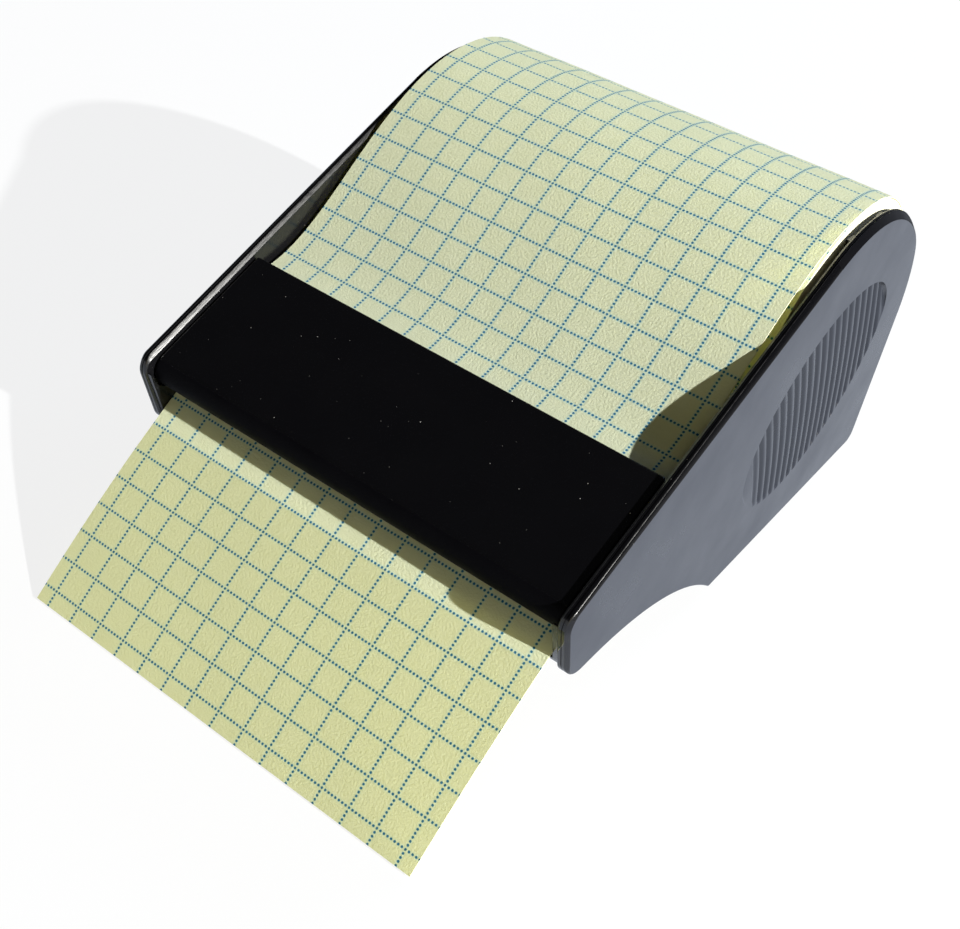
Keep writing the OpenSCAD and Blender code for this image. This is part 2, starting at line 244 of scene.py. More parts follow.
def circle(centre: Sequence[float], radius: float, sides: int) -> np.ndarray:
    """Gives the corners of a round section with a number of flats."""
    return arc(centre, radius, 0, 360 - 360 / sides, sides - 1)


def crossing(p: np.ndarray, m: np.ndarray, q: np.ndarray, k: np.ndarray) -> np.ndarray:
    """Finds where two lines cross, each given by a point and its normal."""
    return np.linalg.solve(np.array([m, k]), np.array([m @ p, k @ q]))


def ahead_of(angle: float) -> np.ndarray:
    """Gives the direction at an angle in degrees, in a plane."""
    return np.array([math.cos(math.radians(angle)), math.sin(math.radians(angle))])


def make_piece(
    name: str,
    points: Sequence[Sequence[float]],
    faces: Sequence[Sequence[int]],
    crisp_angle: float = 35.0,
    kinds: Sequence[int] | None = None,
) -> Piece:
    """Makes a smooth-shaded mesh object from points in millimetres.

    Args:
        name: Name of the piece.
        points: Corners in the shared frame.
        faces: Corner numbers of each face.
        crisp_angle: Edges with more than this angle between their faces stay crisp, in degrees.
        kinds: Material slot of each face, if it has more than one.

    Returns:
        The new object.
    """
    mesh = bpy.data.meshes.new(name)
    mesh.from_pydata([Vector(p) * MM for p in points], [], [list(f) for f in faces])
    mesh.validate()
    if kinds is not None:
        mesh.polygons.foreach_set("material_index", kinds)
    made = bpy.data.objects.new(name, mesh)
    bpy.context.scene.collection.objects.link(made)
    face_outward(mesh)
    soften(mesh, crisp_angle)
    return made


def face_outward(mesh: bpy.types.Mesh) -> None:
    """Turns all faces of a mesh outward.

    Args:
        mesh: A closed mesh.
    """
    work = bmesh.new()
    work.from_mesh(mesh)
    bmesh.ops.recalc_face_normals(work, faces=work.faces)
    work.to_mesh(mesh)
    work.free()


def soften(mesh: bpy.types.Mesh, crisp_angle: float) -> None:
    """Shades a mesh smooth except across its crisp edges.

    Args:
        mesh: The mesh.
        crisp_angle: Least angle between the faces at a crisp edge, in degrees.
    """
    mesh.polygons.foreach_set("use_smooth", [True] * len(mesh.polygons))
    mesh.set_sharp_from_angle(angle=math.radians(crisp_angle))
    mesh.update()


def add_ring(points: list[Spot], ring: Sequence[Sequence[float]]) -> list[int]:
    """Adds a ring of points to those of a mesh.

    Args:
        points: Points of the mesh so far, which grow.
        ring: The new points.

    Returns:
        The numbers of the new points.
    """
    first = len(points)
    points += [tuple(spot) for spot in ring]
    return list(range(first, len(points)))


def ring_faces(rings: Sequence[Sequence[int]]) -> list[Sequence[int]]:
    """Joins closed rings of equal length with quads.

    Args:
        rings: Corner numbers of each ring.

    Returns:
        The quads between neighbouring rings.
    """
    faces: list[Sequence[int]] = []
    for lower, upper in zip(rings, rings[1:]):
        count = len(lower)
        for i in range(count):
            j = (i + 1) % count
            faces.append((lower[i], lower[j], upper[j], upper[i]))
    return faces


def prism_piece(
    name: str, outline: Sequence[Sequence[float]], start: float, end: float, upright: bool = False
) -> Piece:
    """Makes a prism, as a tool for cut_or_join.

    Args:
        name: Name of the piece.
        outline: Its section as Y and Z, or as X and Y if it is upright.
        start: Where it begins along X, or along Z if it is upright.
        end: Where it ends.
        upright: Whether it runs along Z.

    Returns:
        The new object.
    """
    points: list[Spot] = []
    rings = []
    for level in (start, end):
        rings.append(add_ring(points, [(u, v, level) if upright else (level, u, v) for u, v in outline]))
    return make_piece(name, points, [*ring_faces(rings), *rings])


def cut_or_join(base: Piece, tool: Piece, change: Change) -> None:
    """Cuts a tool out of a mesh or joins it on, and removes the tool.

    Args:
        base: The object that changes.
        tool: The object that is cut out or joined on.
        change: Which of the two.
    """
    modifier = base.modifiers.new("join", "BOOLEAN")
    modifier.operation = change.value
    modifier.solver = "EXACT"
    modifier.object = tool
    graph = bpy.context.evaluated_depsgraph_get()
    done = bpy.data.meshes.new_from_object(base.evaluated_get(graph))
    base.modifiers.remove(modifier)
    old = base.data
    base.data = done
    done.name = base.name
    bpy.data.meshes.remove(old)
    bpy.data.objects.remove(tool)


def dress(piece: Piece, *finishes: Finish) -> None:
    """Puts finishes into a piece's slots, in place of those that it has.

    Clearing the slots also resets their numbers on the faces, so it is left out where there are none.

    Args:
        piece: The piece.
        *finishes: The finishes in the order of the slots.
    """
    if piece.data.materials:
        piece.data.materials.clear()
    for finish in finishes:
        piece.data.materials.append(finish)


def map_sheet(
    piece: Piece, faces: Sequence[Sequence[int]], places: Sequence[Sequence[Sequence[float]]]
) -> None:
    """Gives a piece of paper the map of millimetres that its print is drawn in.

    Args:
        piece: The sheet or the roll.
        faces: Corner numbers of each face.
        places: Place on the sheet, across and along it, of each corner of each face.
    """
    layer = piece.data.uv_layers.new(name=SHEET_MAP)
    for polygon, face, place in zip(piece.data.polygons, faces, places):
        by_corner = dict(zip(face, place))
        for loop in polygon.loop_indices:
            layer.data[loop].uv = by_corner[piece.data.loops[loop].vertex_index]


# Finishes


@dataclass(frozen=True)
class Dust:
    """Specks of dust on a moulded face, drawn about twice their real size so that they show.

    Attributes:
        speck_mm: Spacing of the specks in space, of which those show that meet a face.
        speck_r_mm: Largest radius of a speck.
    """

    speck_mm: float
    speck_r_mm: float

    def add_to(self, tree: Tree, place: Socket) -> Node:
        """Adds the dust to a material.

        Args:
            tree: The material's nodes.
            place: Object coordinates.

        Returns:
            How much dust there is, from 0 to 1.
        """
        cells = add(tree, "ShaderNodeTexVoronoi", {"Vector": place, "Scale": per_mm(self.speck_mm)})
        chance = add(tree, "ShaderNodeSeparateColor", {"Color": cells.outputs["Color"]})
        reach = self.speck_r_mm / self.speck_mm
        mark = add(tree, "ShaderNodeMath", {0: cells.outputs["Distance"], 1: reach}, operation="LESS_THAN")
        return add(tree, "ShaderNodeMath", {0: mark, 1: chance.outputs["Red"]}, operation="MULTIPLY")


@dataclass(frozen=True)
class MouldedAbs:
    """Moulded ABS, from a polished tool on the bar and from a finely blasted one on the panels.

    The eye sees near-black depth that turns grey where it mirrors the table at a low angle. A polished
    tool leaves a sharp reflection with a faint long wave in it. A blasted one leaves a fine even grain
    that spreads the reflection. Both pick up dust, and worn edges have fine scuffs along them, which
    scuff_long draws out in the direction scuff_slope, in degrees.
    """

    name: str
    colour: str
    flow_colour: str
    roughness: float
    grain_mm: float
    dust: Dust
    grain_depth_mm: float = 0.02
    grain_detail: float = 2.0
    relief: float = 0.3
    flow_mm: float = 9.0
    flow_detail: float = 4.0
    noise_low: float = 0.3
    noise_high: float = 0.7
    smoothest: float = 0.8
    roughest: float = 1.25
    dust_colour: str = "#8f8f8b"
    ior: float = 1.5
    specular: float = 0.5
    scuff_long: float = 1.0
    scuff_slope: float = 0.0

    def make(self) -> Finish:
        """Builds the material.

        Returns:
            The material.
        """
        finish, tree = new_finish(self.name)
        place = add(tree, "ShaderNodeTexCoord").outputs["Object"]
        wide = {"Vector": place, "Scale": per_mm(self.flow_mm), "Detail": self.flow_detail}
        flow = add(tree, "ShaderNodeTexNoise", wide)
        turn = (math.radians(self.scuff_slope), 0.0, 0.0)
        drawn = {"Vector": place, "Rotation": turn, "Scale": (1.0, self.scuff_long, 1.0)}
        along = add(tree, "ShaderNodeMapping", drawn, vector_type="TEXTURE")
        fine = {"Vector": along, "Scale": per_mm(self.grain_mm), "Detail": self.grain_detail}
        grain = add(tree, "ShaderNodeTexNoise", fine)
        dusty = self.dust.add_to(tree, place)
        colour = linear(self.colour)
        for cover, tone in ((flow, self.flow_colour), (dusty, self.dust_colour)):
            layer = {"Factor": cover, "A": colour, "B": linear(tone)}
            colour = add(tree, "ShaderNodeMix", layer, data_type="RGBA")
        spread = {
            "Value": grain if self.scuff_long > 1 else flow,
            "From Min": self.noise_low,
            "From Max": self.noise_high,
            "To Min": self.roughness * self.smoothest,
            "To Max": self.roughness * self.roughest,
        }
        rough = add(tree, "ShaderNodeMapRange", spread)
        matt = add(tree, "ShaderNodeMath", {0: rough, 1: dusty}, operation="MAXIMUM")
        depth = self.grain_depth_mm * MM
        bump = add(tree, "ShaderNodeBump", {"Height": grain, "Strength": self.relief, "Distance": depth})
        surface = {
            "Base Color": colour,
            "Roughness": matt,
            "Normal": bump,
            "IOR": self.ior,
            "Specular IOR Level": self.specular,
        }
        shader = add(tree, "ShaderNodeBsdfPrincipled", surface)
        add(tree, "ShaderNodeOutputMaterial", {"Surface": shader})
        return finish


@dataclass(frozen=True)
class NotePaper:
    """Uncoated note paper, printed with a square grid of fine dots.

    The eye sees a matt pale yellow-green sheet with a soft fibrous tooth, slight clouding, and
    teal dots that sit a little uneven on the fibres. A single sheet lets some light through. The tooth
    is drawn coarser and deeper than the real one so that it shows.
    """

    name: str = "note_paper_printed"
    colour: str = "#dde4c9"
    cloud: str = "#d3dbbc"
    ink: str = "#1a6c94"
    ink_cover: float = 0.97
    bleed: str = "#9fd4d8"
    bleed_mm: float = 0.6
    bleed_cover: float = 0.6
    square_mm: float = 5.0
    dot_pitch_mm: float = 0.625
    dot_r_mm: float = 0.2
    dot_edge_mm: float = 0.05
    fibre_mm: float = 0.4
    fibre_depth_mm: float = 0.17
    fibre_rough: float = 0.6
    relief: float = 0.7
    cloud_mm: float = 2.2
    detail: float = 4.0
    smoothest: float = 0.78
    roughest: float = 0.95
    ior: float = 1.45
    specular: float = 0.25
    veil: str = "#f5f1b4"
    through: float = 0.52

    def make(self, row_phase: float) -> Finish:
        """Builds the material.

        Args:
            row_phase: Place along the sheet of one printed row, in millimetres.

        Returns:
            The material, which reads the sheet's own map of millimetres.
        """
        finish, tree = new_finish(self.name)
        sheet = add(tree, "ShaderNodeUVMap", uv_map=SHEET_MAP)
        tooth = {
            "Vector": sheet,
            "Scale": 1 / self.fibre_mm,
            "Detail": self.detail,
            "Roughness": self.fibre_rough,
        }
        fibre = add(tree, "ShaderNodeTexNoise", tooth)
        wide = {"Vector": sheet, "Scale": 1 / self.cloud_mm, "Detail": self.detail}
        cloud = add(tree, "ShaderNodeTexNoise", wide)
        row = (0.0, row_phase, 0.0)
        from_row = add(tree, "ShaderNodeVectorMath", {0: sheet, 1: row}, operation="SUBTRACT")
        nearest = self.dot_distance(tree, from_row)
        wander = self.dot_r_mm / 2
        uneven = add(tree, "ShaderNodeMath", {0: fibre, 1: wander, 2: nearest}, operation="MULTIPLY_ADD")
        rim = self.dot_r_mm + wander / 2
        dot = {
            "Value": uneven,
            "From Min": rim - self.dot_edge_mm,
            "From Max": rim + self.dot_edge_mm,
            "To Min": self.ink_cover,
            "To Max": 0.0,
        }
        inked = add(tree, "ShaderNodeMapRange", dot, interpolation_type="SMOOTHSTEP")
        halo = {"Value": nearest, "From Max": self.bleed_mm, "To Min": self.bleed_cover, "To Max": 0.0}
        near = add(tree, "ShaderNodeMapRange", halo, interpolation_type="SMOOTHSTEP")
        colour = linear(self.colour)
        for cover, tone in ((cloud, self.cloud), (near, self.bleed), (inked, self.ink)):
            layer = {"Factor": cover, "A": colour, "B": linear(tone)}
            colour = add(tree, "ShaderNodeMix", layer, data_type="RGBA")
        depth = self.fibre_depth_mm * MM
        bump = add(tree, "ShaderNodeBump", {"Height": fibre, "Strength": self.relief, "Distance": depth})
        spread = {"Value": fibre, "To Min": self.smoothest, "To Max": self.roughest}
        surface = {
            "Base Color": colour,
            "Roughness": add(tree, "ShaderNodeMapRange", spread),
            "Normal": bump,
            "IOR": self.ior,
            "Specular IOR Level": self.specular,
        }
        shader = add(tree, "ShaderNodeBsdfPrincipled", surface)
        glow = {"Factor": inked, "A": linear(self.veil), "B": linear(self.ink)}
        veil = add(tree, "ShaderNodeMix", glow, data_type="RGBA")
        add(tree, "ShaderNodeOutputMaterial", {"Surface": let_through(tree, shader, veil, self.through)})
        return finish

    def dot_distance(self, tree: Tree, place: Node) -> Node:
        """Adds the distance to the nearest dot of the grid.

        Args:
            tree: The material's nodes.
            place: Place on the sheet, counted from a printed row.

        Returns:
            The distance in millimetres.
        """
        half_square = self.square_mm / 2
        half_dot = self.dot_pitch_mm / 2
        gaps = []
        for half in ((half_square, half_dot, 1.0), (half_dot, half_square, 1.0)):
            limits = {0: place, 1: half, 2: tuple(-h for h in half)}
            wrapped = add(tree, "ShaderNodeVectorMath", limits, operation="WRAP")
            gaps.append(add(tree, "ShaderNodeVectorMath", {0: wrapped}, operation="LENGTH"))
        return add(tree, "ShaderNodeMath", {0: gaps[0], 1: gaps[1]}, operation="MINIMUM")


@dataclass(frozen=True)
class PlainPaper:
    """Unprinted faces of the note paper: its back, with the matt trace of its adhesive, and its cut edges.

    The eye sees the cut edges as nearly white layers, because the cut fibres scatter the light.
    """

    name: str
    colour: str
    shade: str
    layer_mm: float
    through: float = 0.0
    detail: float = 3.0
    relief: float = 0.4
    depth_mm: float = 0.05
    roughness: float = 0.9
    specular: float = 0.2

    def make(self) -> Finish:
        """Builds the material.

        Returns:
            The material.
        """
        finish, tree = new_finish(self.name)
        place = add(tree, "ShaderNodeTexCoord").outputs["Object"]
        fine = {"Vector": place, "Scale": per_mm(self.layer_mm), "Detail": self.detail}
        layer = add(tree, "ShaderNodeTexNoise", fine)
        tones = {"Factor": layer, "A": linear(self.colour), "B": linear(self.shade)}
        colour = add(tree, "ShaderNodeMix", tones, data_type="RGBA")
        depth = self.depth_mm * MM
        bump = add(tree, "ShaderNodeBump", {"Height": layer, "Strength": self.relief, "Distance": depth})
        surface = {
            "Base Color": colour,
            "Normal": bump,
            "Roughness": self.roughness,
            "Specular IOR Level": self.specular,
        }
        shader = add(tree, "ShaderNodeBsdfPrincipled", surface)
        add(tree, "ShaderNodeOutputMaterial", {"Surface": let_through(tree, shader, colour, self.through)})
        return finish


@dataclass(frozen=True)
class GrainedSolid:
    """A finish with a two-tone grain and a fine relief, for the pieces inside and under the case.

    Attributes:
        name: Name of the material, for the real material and how it was made.
        colour: Main colour.
        grain: Second colour of the grain.
        roughness: Middle of its roughness, of which the grain gives the shares smoothest to roughest.
        grain_mm: Spacing of the grain.
        stretch: How far the grain is drawn out along X.
        depth_mm: Depth of the grain.
        relief: How strongly the depth shows.
        detail: How many finer grains there are in it.
        metallic: 1 for a metal, which keeps the default index of refraction.
        ior: Index of refraction of what isn't a metal.
    """

    name: str
    colour: str
    grain: str
    roughness: float
    grain_mm: float
    stretch: float = 1.0
    depth_mm: float = 0.02
    relief: float = 0.5
    detail: float = 4.0
    smoothest: float = 0.75
    roughest: float = 1.25
    metallic: float = 0.0
    ior: float = 1.5

    def make(self) -> Finish:
        """Builds the material.

        Returns:
            The material.
        """
        finish, tree = new_finish(self.name)
        place = add(tree, "ShaderNodeTexCoord").outputs["Object"]
        drawn = add(tree, "ShaderNodeMapping", {"Vector": place, "Scale": (1 / self.stretch, 1.0, 1.0)})
        fine = {"Vector": drawn, "Scale": per_mm(self.grain_mm), "Detail": self.detail}
        grain = add(tree, "ShaderNodeTexNoise", fine)
        tones = {"Factor": grain, "A": linear(self.colour), "B": linear(self.grain)}
        spread = {
            "Value": grain,
            "To Min": self.roughness * self.smoothest,
            "To Max": self.roughness * self.roughest,
        }
        depth = self.depth_mm * MM
        bump = add(tree, "ShaderNodeBump", {"Height": grain, "Strength": self.relief, "Distance": depth})
        surface = {
            "Base Color": add(tree, "ShaderNodeMix", tones, data_type="RGBA"),
            "Roughness": add(tree, "ShaderNodeMapRange", spread),
            "Normal": bump,
            "Metallic": self.metallic,
        }
        if not self.metallic:
            surface["IOR"] = self.ior
        shader = add(tree, "ShaderNodeBsdfPrincipled", surface)
        add(tree, "ShaderNodeOutputMaterial", {"Surface": shader})
        return finish


# Sizes shared by the sub-assemblies


@dataclass
class Layout:
    """Where the frame says the main pieces are, in millimetres, and the side view of the case.

    Points are (Y, Z). The fields with values are the driving sizes of the side view.
    """

    frame: dict
    nose_reach: float = 75.2
    nose_top: float = 31.6
    nose_low: float = 17.7
    nose_lean: float = 14.0
    nose_brow: float = 2.1
    nose_top_round: float = 3.0
    nose_low_round: float = 4.5
    rear_round: float = 29.4
    arch_r: float = 61.0
    foot_reach: float = 26.5
    foot_round: float = 2.0
    least_round: float = 0.3
    rear_steps: int = 64
    nose_steps: int = 14
    arch_steps: int = 30
    foot_steps: int = 10

    def __post_init__(self) -> None:
        """Reads the frame and works out the straight top edge."""
        panel_low, panel_high = self.box("right_side_panel")
        self.outer_half = panel_high[0]
        self.inner_half = self.box("base_tray")[1][0]
        self.rear_y = panel_high[1]
        self.panel_top = panel_high[2]
        self.foot_z = panel_low[2]
        self.paper_half = self.box("paper_lead")[1][0]
        self.axis = self.joint_point("roll_spin")
        self.guide = self.joint_point("guide_spin")
        self.hinge = self.joint_point("bar_hinge")
        self.roll_r = self.box("paper_roll")[1][1]
        self.guide_r = self.box("guide_roller")[1][2] - self.guide[1]
        self.rear_c = np.array([self.rear_y - self.rear_round, self.panel_top - self.rear_round])
        self.tip = np.array([-self.nose_reach, self.nose_top])
        reach = self.rear_c - self.tip
        lift = math.asin(self.rear_round / np.linalg.norm(reach))
        self.slope = math.degrees(math.atan2(reach[1], reach[0]) + lift)
        self.along = ahead_of(self.slope)
        self.top_in = np.array([self.along[1], -self.along[0]])

    def box(self, node: str) -> tuple[np.ndarray, np.ndarray]:
        """Gives the lowest and highest corner of a solid, in millimetres."""
        low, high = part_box(node)
        return np.array(low) / MM, np.array(high) / MM

    def joint_point(self, name: str) -> np.ndarray:
        """Gives the Y and Z of a joint's axis, in millimetres."""
        joint = next(j for j in self.frame["joints"] if j["name"] == name)
        return np.array(joint["pos_m"][1:]) / MM

    def outline(self, inset: float) -> np.ndarray:
        """Gives the side view of a panel.

        Args:
            inset: How far the outline is set in.

        Returns:
            Its points, anticlockwise from the back, equally many for every inset.
        """
        front_in = ahead_of(self.nose_lean)
        low_in = np.array([0.0, 1.0])
        brow = self.tip - np.array([0.0, self.nose_brow])
        rounds = (self.nose_top_round, self.nose_low_round, self.foot_round)
        r_top, r_low, r_foot = (max(r - inset, self.least_round) for r in rounds)
        in_top = inset + r_top
        in_low = inset + r_low
        c_top = crossing(self.tip + in_top * self.top_in, self.top_in, brow + in_top * front_in, front_in)
        c_low = crossing(brow + in_low * front_in, front_in, np.array([0.0, self.nose_low + in_low]), low_in)
        c_foot = np.array([self.rear_y - inset - r_foot, self.foot_z + inset + r_foot])
        half_arch = math.sqrt(self.arch_r ** 2 - (self.arch_r - self.nose_low + self.foot_z) ** 2)
        arch_c = np.array([-self.foot_reach - half_arch, self.nose_low - self.arch_r])
        arch_end = math.degrees(math.asin((self.foot_z + inset - arch_c[1]) / (self.arch_r + inset)))
        return np.concatenate([
            arc(self.rear_c, self.rear_round - inset, 0, 90 + self.slope, self.rear_steps),
            arc(c_top, r_top, 90 + self.slope, 180 + self.nose_lean, self.nose_steps),
            arc(c_low, r_low, 180 + self.nose_lean, 270, self.nose_steps),
            arc(arch_c, self.arch_r + inset, 90, arch_end, self.arch_steps),
            arc(c_foot, r_foot, 270, 360, self.foot_steps),
        ])

    def on_slope(self, u: float, n: float) -> np.ndarray:
        """Gives the point u up the slope from the hinge and n above the top edge of the panels."""
        start = self.tip + ((self.hinge - self.tip) @ self.along) * self.along
        return start + u * self.along - n * self.top_in


# Sub-assemblies


@dataclass
class SidePanels:
    """The two moulded side panels, each with a bevelled rim, a seam line and a ribbed finger scoop.

    The scoop is deepest under its upper edge and runs out to the face at its lower edge, where the
    grooves end as a row of teeth. The finishes are in the order of PanelFace. A turn is the part of
    the outline's inward direction at which the bevel starts to change, and over how much of it.
    """

    layout: Layout
    finishes: Sequence[Finish]
    crisp_angle: float = 32.0
    bevel_in: float = 0.6
    bevel_in_slant: float = 0.92
    bevel_front: float = 0.4
    bevel_nose: float = 0.55
    bevel_rear: float = 1.2
    bevel_slant: float = 0.95
    bevel_under: float = 0.12
    front_turn: tuple[float, float] = (0.95, 0.85)
    rear_turn: tuple[float, float] = (-0.5, 0.45)
    nose_turn: tuple[float, float] = (0.5, 0.4)
    back_from: float = 0.75
    nose_thin: float = 0.7
    back_thin: float = 0.65
    rim_steps: int = 4
    ease_share: float = 0.3
    ease_most: float = 0.15
    seam_at: float = 0.85
    seam_w: float = 0.13
    seam_depth: float = 0.12
    seam_bands: int = 5
    support: float = 0.25
    grip_front: float = 3.2
    grip_z: float = 29.8
    grip_a: float = 22.5
    grip_b: float = 16.2
    grip_steps: int = 2880
    scoop_depth: float = 0.6
    scoop_end: float = 0.0015
    rib_depth: float = 0.56
    rib_pitch: float = 2.05
    rib_curve_r: float = 120.0
    rib_curve_dir: float = 203.0
    rib_samples: int = 12
    rib_rows: int = 40
    rib_start: float = 3.0
    least_room: float = 1e-6
    tooth_fade: float = 0.07
    wall_fade: float = 0.015
    root_in: float = 0.4
    seat_r: float = 4.07
    seat_wall: float = 2.0
    seat_clear: float = 0.2
    seat_drop: float = 1.5
    seat_steps: int = 40
    ledge_clear: float = 0.3
    ledge_h: float = 1.2
    ledge_drop: float = 4.25
    ledge_from: float = 4.32
    ledge_to: float = 22.1
    boss_r: float = 3.4
    boss_h: float = 6.0
    boss_y: float = 20.0
    boss_z: float = 5.6
    boss_steps: int = 24
    cheek_inset: float = 0.32
    cheek_clear: float = 0.15
    cheek_swing: float = 3.8
    cheek_swing_from: float = 300.0
    cheek_steps: int = 24
    cheek_back: float = -66.0
    cheek_drop: float = 1.25

    def build(self, web: LoosePaper) -> list[Piece]:
        """Builds and dresses both panels.

        Args:
            web: The paper, beside which the cheeks of the nose stand.

        Returns:
            The left and the right panel.
        """
        made = []
        for side in Side:
            name = f"{side.name.lower()}_side_panel"
            panel = self.shell(name + "_moulding", side)
            dress(panel, *self.finishes)
            for tool in self.inner_features(side.value, web):
                cut_or_join(panel, tool, Change.JOIN)
            soften(panel.data, self.crisp_angle)
            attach(panel, "case")
            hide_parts(name)
            made.append(panel)
        return made

    def rim_rings(self) -> list[np.ndarray]:
        """Gives the rings of the rim, from the inner face to the outer face.

        Returns:
            X, Y and Z of each ring's points: the edges are bevelled on top and nearly crisp below.
        """
        lay = self.layout
        base = lay.outline(0.0)
        inward = lay.outline(1.0) - base
        front = base[:, 0] < -lay.foot_reach
        turn_from, turn_over = (np.where(front, *pair) for pair in zip(self.front_turn, self.rear_turn))
        share = np.clip((turn_from - inward[:, 1]) / turn_over, 0, 1)
        share = share ** 2 * (3 - 2 * share)
        back = np.clip(base[:, 0] / (lay.rear_y + lay.nose_reach) + self.back_from, 0, 1)
        nose = np.clip((inward[:, 0] - self.nose_turn[0]) / self.nose_turn[1], 0, 1)
        full = self.bevel_front + (self.bevel_rear - self.bevel_front) * back
        full += (self.bevel_nose - self.bevel_front) * nose
        low_out = self.bevel_under + (full - self.bevel_under) * share
        thin = (1 - self.nose_thin * nose) * (1 - self.back_thin * back ** 2)
        low_in = self.bevel_under + (self.bevel_in - self.bevel_under) * thin * share
        seam_x = lay.inner_half + self.seam_at
        section = [
            (lay.inner_half, low_in + self.support),
            (lay.inner_half, low_in),
            (lay.inner_half + low_in * self.bevel_in_slant, 0.0),
            (seam_x - self.seam_w, 0.0),
            (seam_x - self.seam_w / 2, self.seam_depth),
            (seam_x + self.seam_w / 2, self.seam_depth),
            (seam_x + self.seam_w, 0.0),
            (lay.outer_half - low_out * self.bevel_slant, 0.0),
            (lay.outer_half, low_out),
            (lay.outer_half, low_out + self.support),
        ]
        none = np.zeros(len(base))
        marks = [np.column_stack([x + none, inset + none]) for x, inset in section]
        stations = [marks[0], *self.eased(*marks[0:3]), *self.eased(*marks[1:4]), *marks[3:7]]
        stations += [*self.eased(*marks[6:9]), *self.eased(*marks[7:10]), marks[9]]
        return [np.column_stack([s[:, 0], base + s[:, 1:] * inward]) for s in stations]

    def eased(self, before: np.ndarray, corner: np.ndarray, after: np.ndarray) -> list[np.ndarray]:
        """Rounds a corner of the rim's section.

        Args:
            before: The section's point before the corner, at each place along the outline.
            corner: The corner itself.
            after: The section's point after it.

        Returns:
            The points of the small rounding, each as X and inset at each place along the outline.
        """
        sides = [before - corner, after - corner]
        lengths = [np.linalg.norm(side, axis=1)[:, None] for side in sides]
        reach = np.minimum(self.ease_share * np.minimum(*lengths), self.ease_most)
        start, end = (corner + reach * side / length for side, length in zip(sides, lengths))
        shares = np.linspace(0, 1, self.rim_steps + 1)
        return [(1 - u) ** 2 * start + 2 * u * (1 - u) * corner + u ** 2 * end for u in shares]

    def shell(self, name: str, side: Side) -> Piece:
        """Builds one panel with its rim and its finger scoop.

        Args:
            name: Name of the piece.
            side: Which end it is on.

        Returns:
            The panel as a closed mesh.
        """
        points: list[Spot] = []
        rings = [add_ring(points, ring) for ring in self.rim_rings()]
        faces = [*ring_faces(rings), rings[0]]
        kinds = [self.band_kind(i, j) for i in range(len(rings) - 1) for j in range(len(rings[0]))]
        kinds.append(PanelFace.INSIDE.value)
        lip, scoop_faces = self.scoop(points)
        faces += scoop_faces
        loops = [[Vector((points[i][1], points[i][2], 0)) for i in loop] for loop in (rings[-1], lip)]
        numbers = [*rings[-1], *lip]
        faces += [[numbers[i] for i in triangle] for triangle in tessellate_polygon(loops)]
        kinds += [PanelFace.OUTSIDE.value] * (len(faces) - len(kinds))
        placed = [(side.value * x, y, z) for x, y, z in points]
        return make_piece(name, placed, faces, self.crisp_angle, kinds)

    def band_kind(self, band: int, column: int) -> int:
        """Gives the material slot of a face of the rim.

        Args:
            band: Number of the band between two rings, counted from the inner face.
            column: Number of the face along the outline, counted from the back.

        Returns:
            The slot's number.
        """
        seam_from = 2 * self.rim_steps + 2
        bevel_from = seam_from + self.seam_bands
        if band == 0:
            return PanelFace.INSIDE.value
        if band < seam_from or bevel_from <= band < bevel_from + self.rim_steps:
            return PanelFace.EDGE.value
        if band > bevel_from + 2 * self.rim_steps:
            return PanelFace.OUTSIDE.value
        # The rim's flats along the back arc get the painted shade finish, which hardly mirrors.
        return (PanelFace.SHADED_REAR_RIM if column < self.layout.rear_steps else PanelFace.RIM).value

    def scoop(self, points: list[Spot]) -> tuple[list[int], list[Sequence[int]]]:
        """Adds the points of the ribbed scoop.

        Args:
            points: Points of the panel so far, which grow.

        Returns:
            The corner numbers of the flat lip round the scoop, and the faces of the scoop.
        """
        turn = np.column_stack([self.layout.along, -self.layout.top_in])
        middle = np.array([-self.grip_front, self.grip_z])
        curve_c = middle + self.rib_curve_r * ahead_of(self.rib_curve_dir)

        def oval(angle: np.ndarray) -> np.ndarray:
            """Gives the point of the oval at an angle."""
            flat = np.stack([self.grip_a * np.cos(angle), self.grip_b * np.sin(angle)], axis=-1)
            return middle + flat @ turn.T

        angles = np.linspace(0, 2 * math.pi, self.grip_steps + 1)[:-1]
        reach = np.linalg.norm(oval(angles) - curve_c, axis=1) - self.rib_curve_r
        first = int(np.argmin(reach))
        last = int(np.argmax(reach))
        one_way = np.arange(first, last + 1 + (len(angles) if last < first else 0)) % len(angles)
        other_way = np.arange(last, first + 1 + (len(angles) if first < last else 0)) % len(angles)
        span = reach[last] - reach[first]
        columns = int(span / self.rib_pitch * self.rib_samples)
        end_slip = span * self.scoop_end
        stations = np.linspace(reach[first] + end_slip, reach[last] - end_slip, columns + 1)
        side_a = np.interp(stations, reach[one_way], np.unwrap(angles[one_way]))
        side_b = np.interp(stations, reach[other_way][::-1], np.unwrap(angles[other_way])[::-1])
        share = 0.5 - 0.5 * np.cos(np.linspace(0, math.pi, self.rib_rows + 1))
        lines = []
        for station, a, b in zip(stations, side_a, side_b):
            ends = np.stack([oval(np.array(a)), oval(np.array(b))])
            bearing = np.unwrap(np.arctan2(ends[:, 1] - curve_c[1], ends[:, 0] - curve_c[0]))
            along = bearing[0] + (bearing[1] - bearing[0]) * share
            radius = self.rib_curve_r + station
            spots = curve_c + radius * np.stack([np.cos(along), np.sin(along)], axis=1)
            spots[[0, -1]] = ends
            depth = self.scoop_profile((spots - middle) @ turn, station, station - reach[first])
            depth[[0, -1]] = 0.0
            lines.append(add_ring(points, np.column_stack([self.layout.outer_half - depth, spots])))
        faces: list[Sequence[int]] = []
        for line, after in zip(lines, lines[1:]):
            for j in range(self.rib_rows):
                faces.append((line[j], after[j], after[j + 1], line[j + 1]))
        faces += [lines[0][::-1], lines[-1]]
        edge = [line[0] for line in lines] + [line[-1] for line in reversed(lines)]
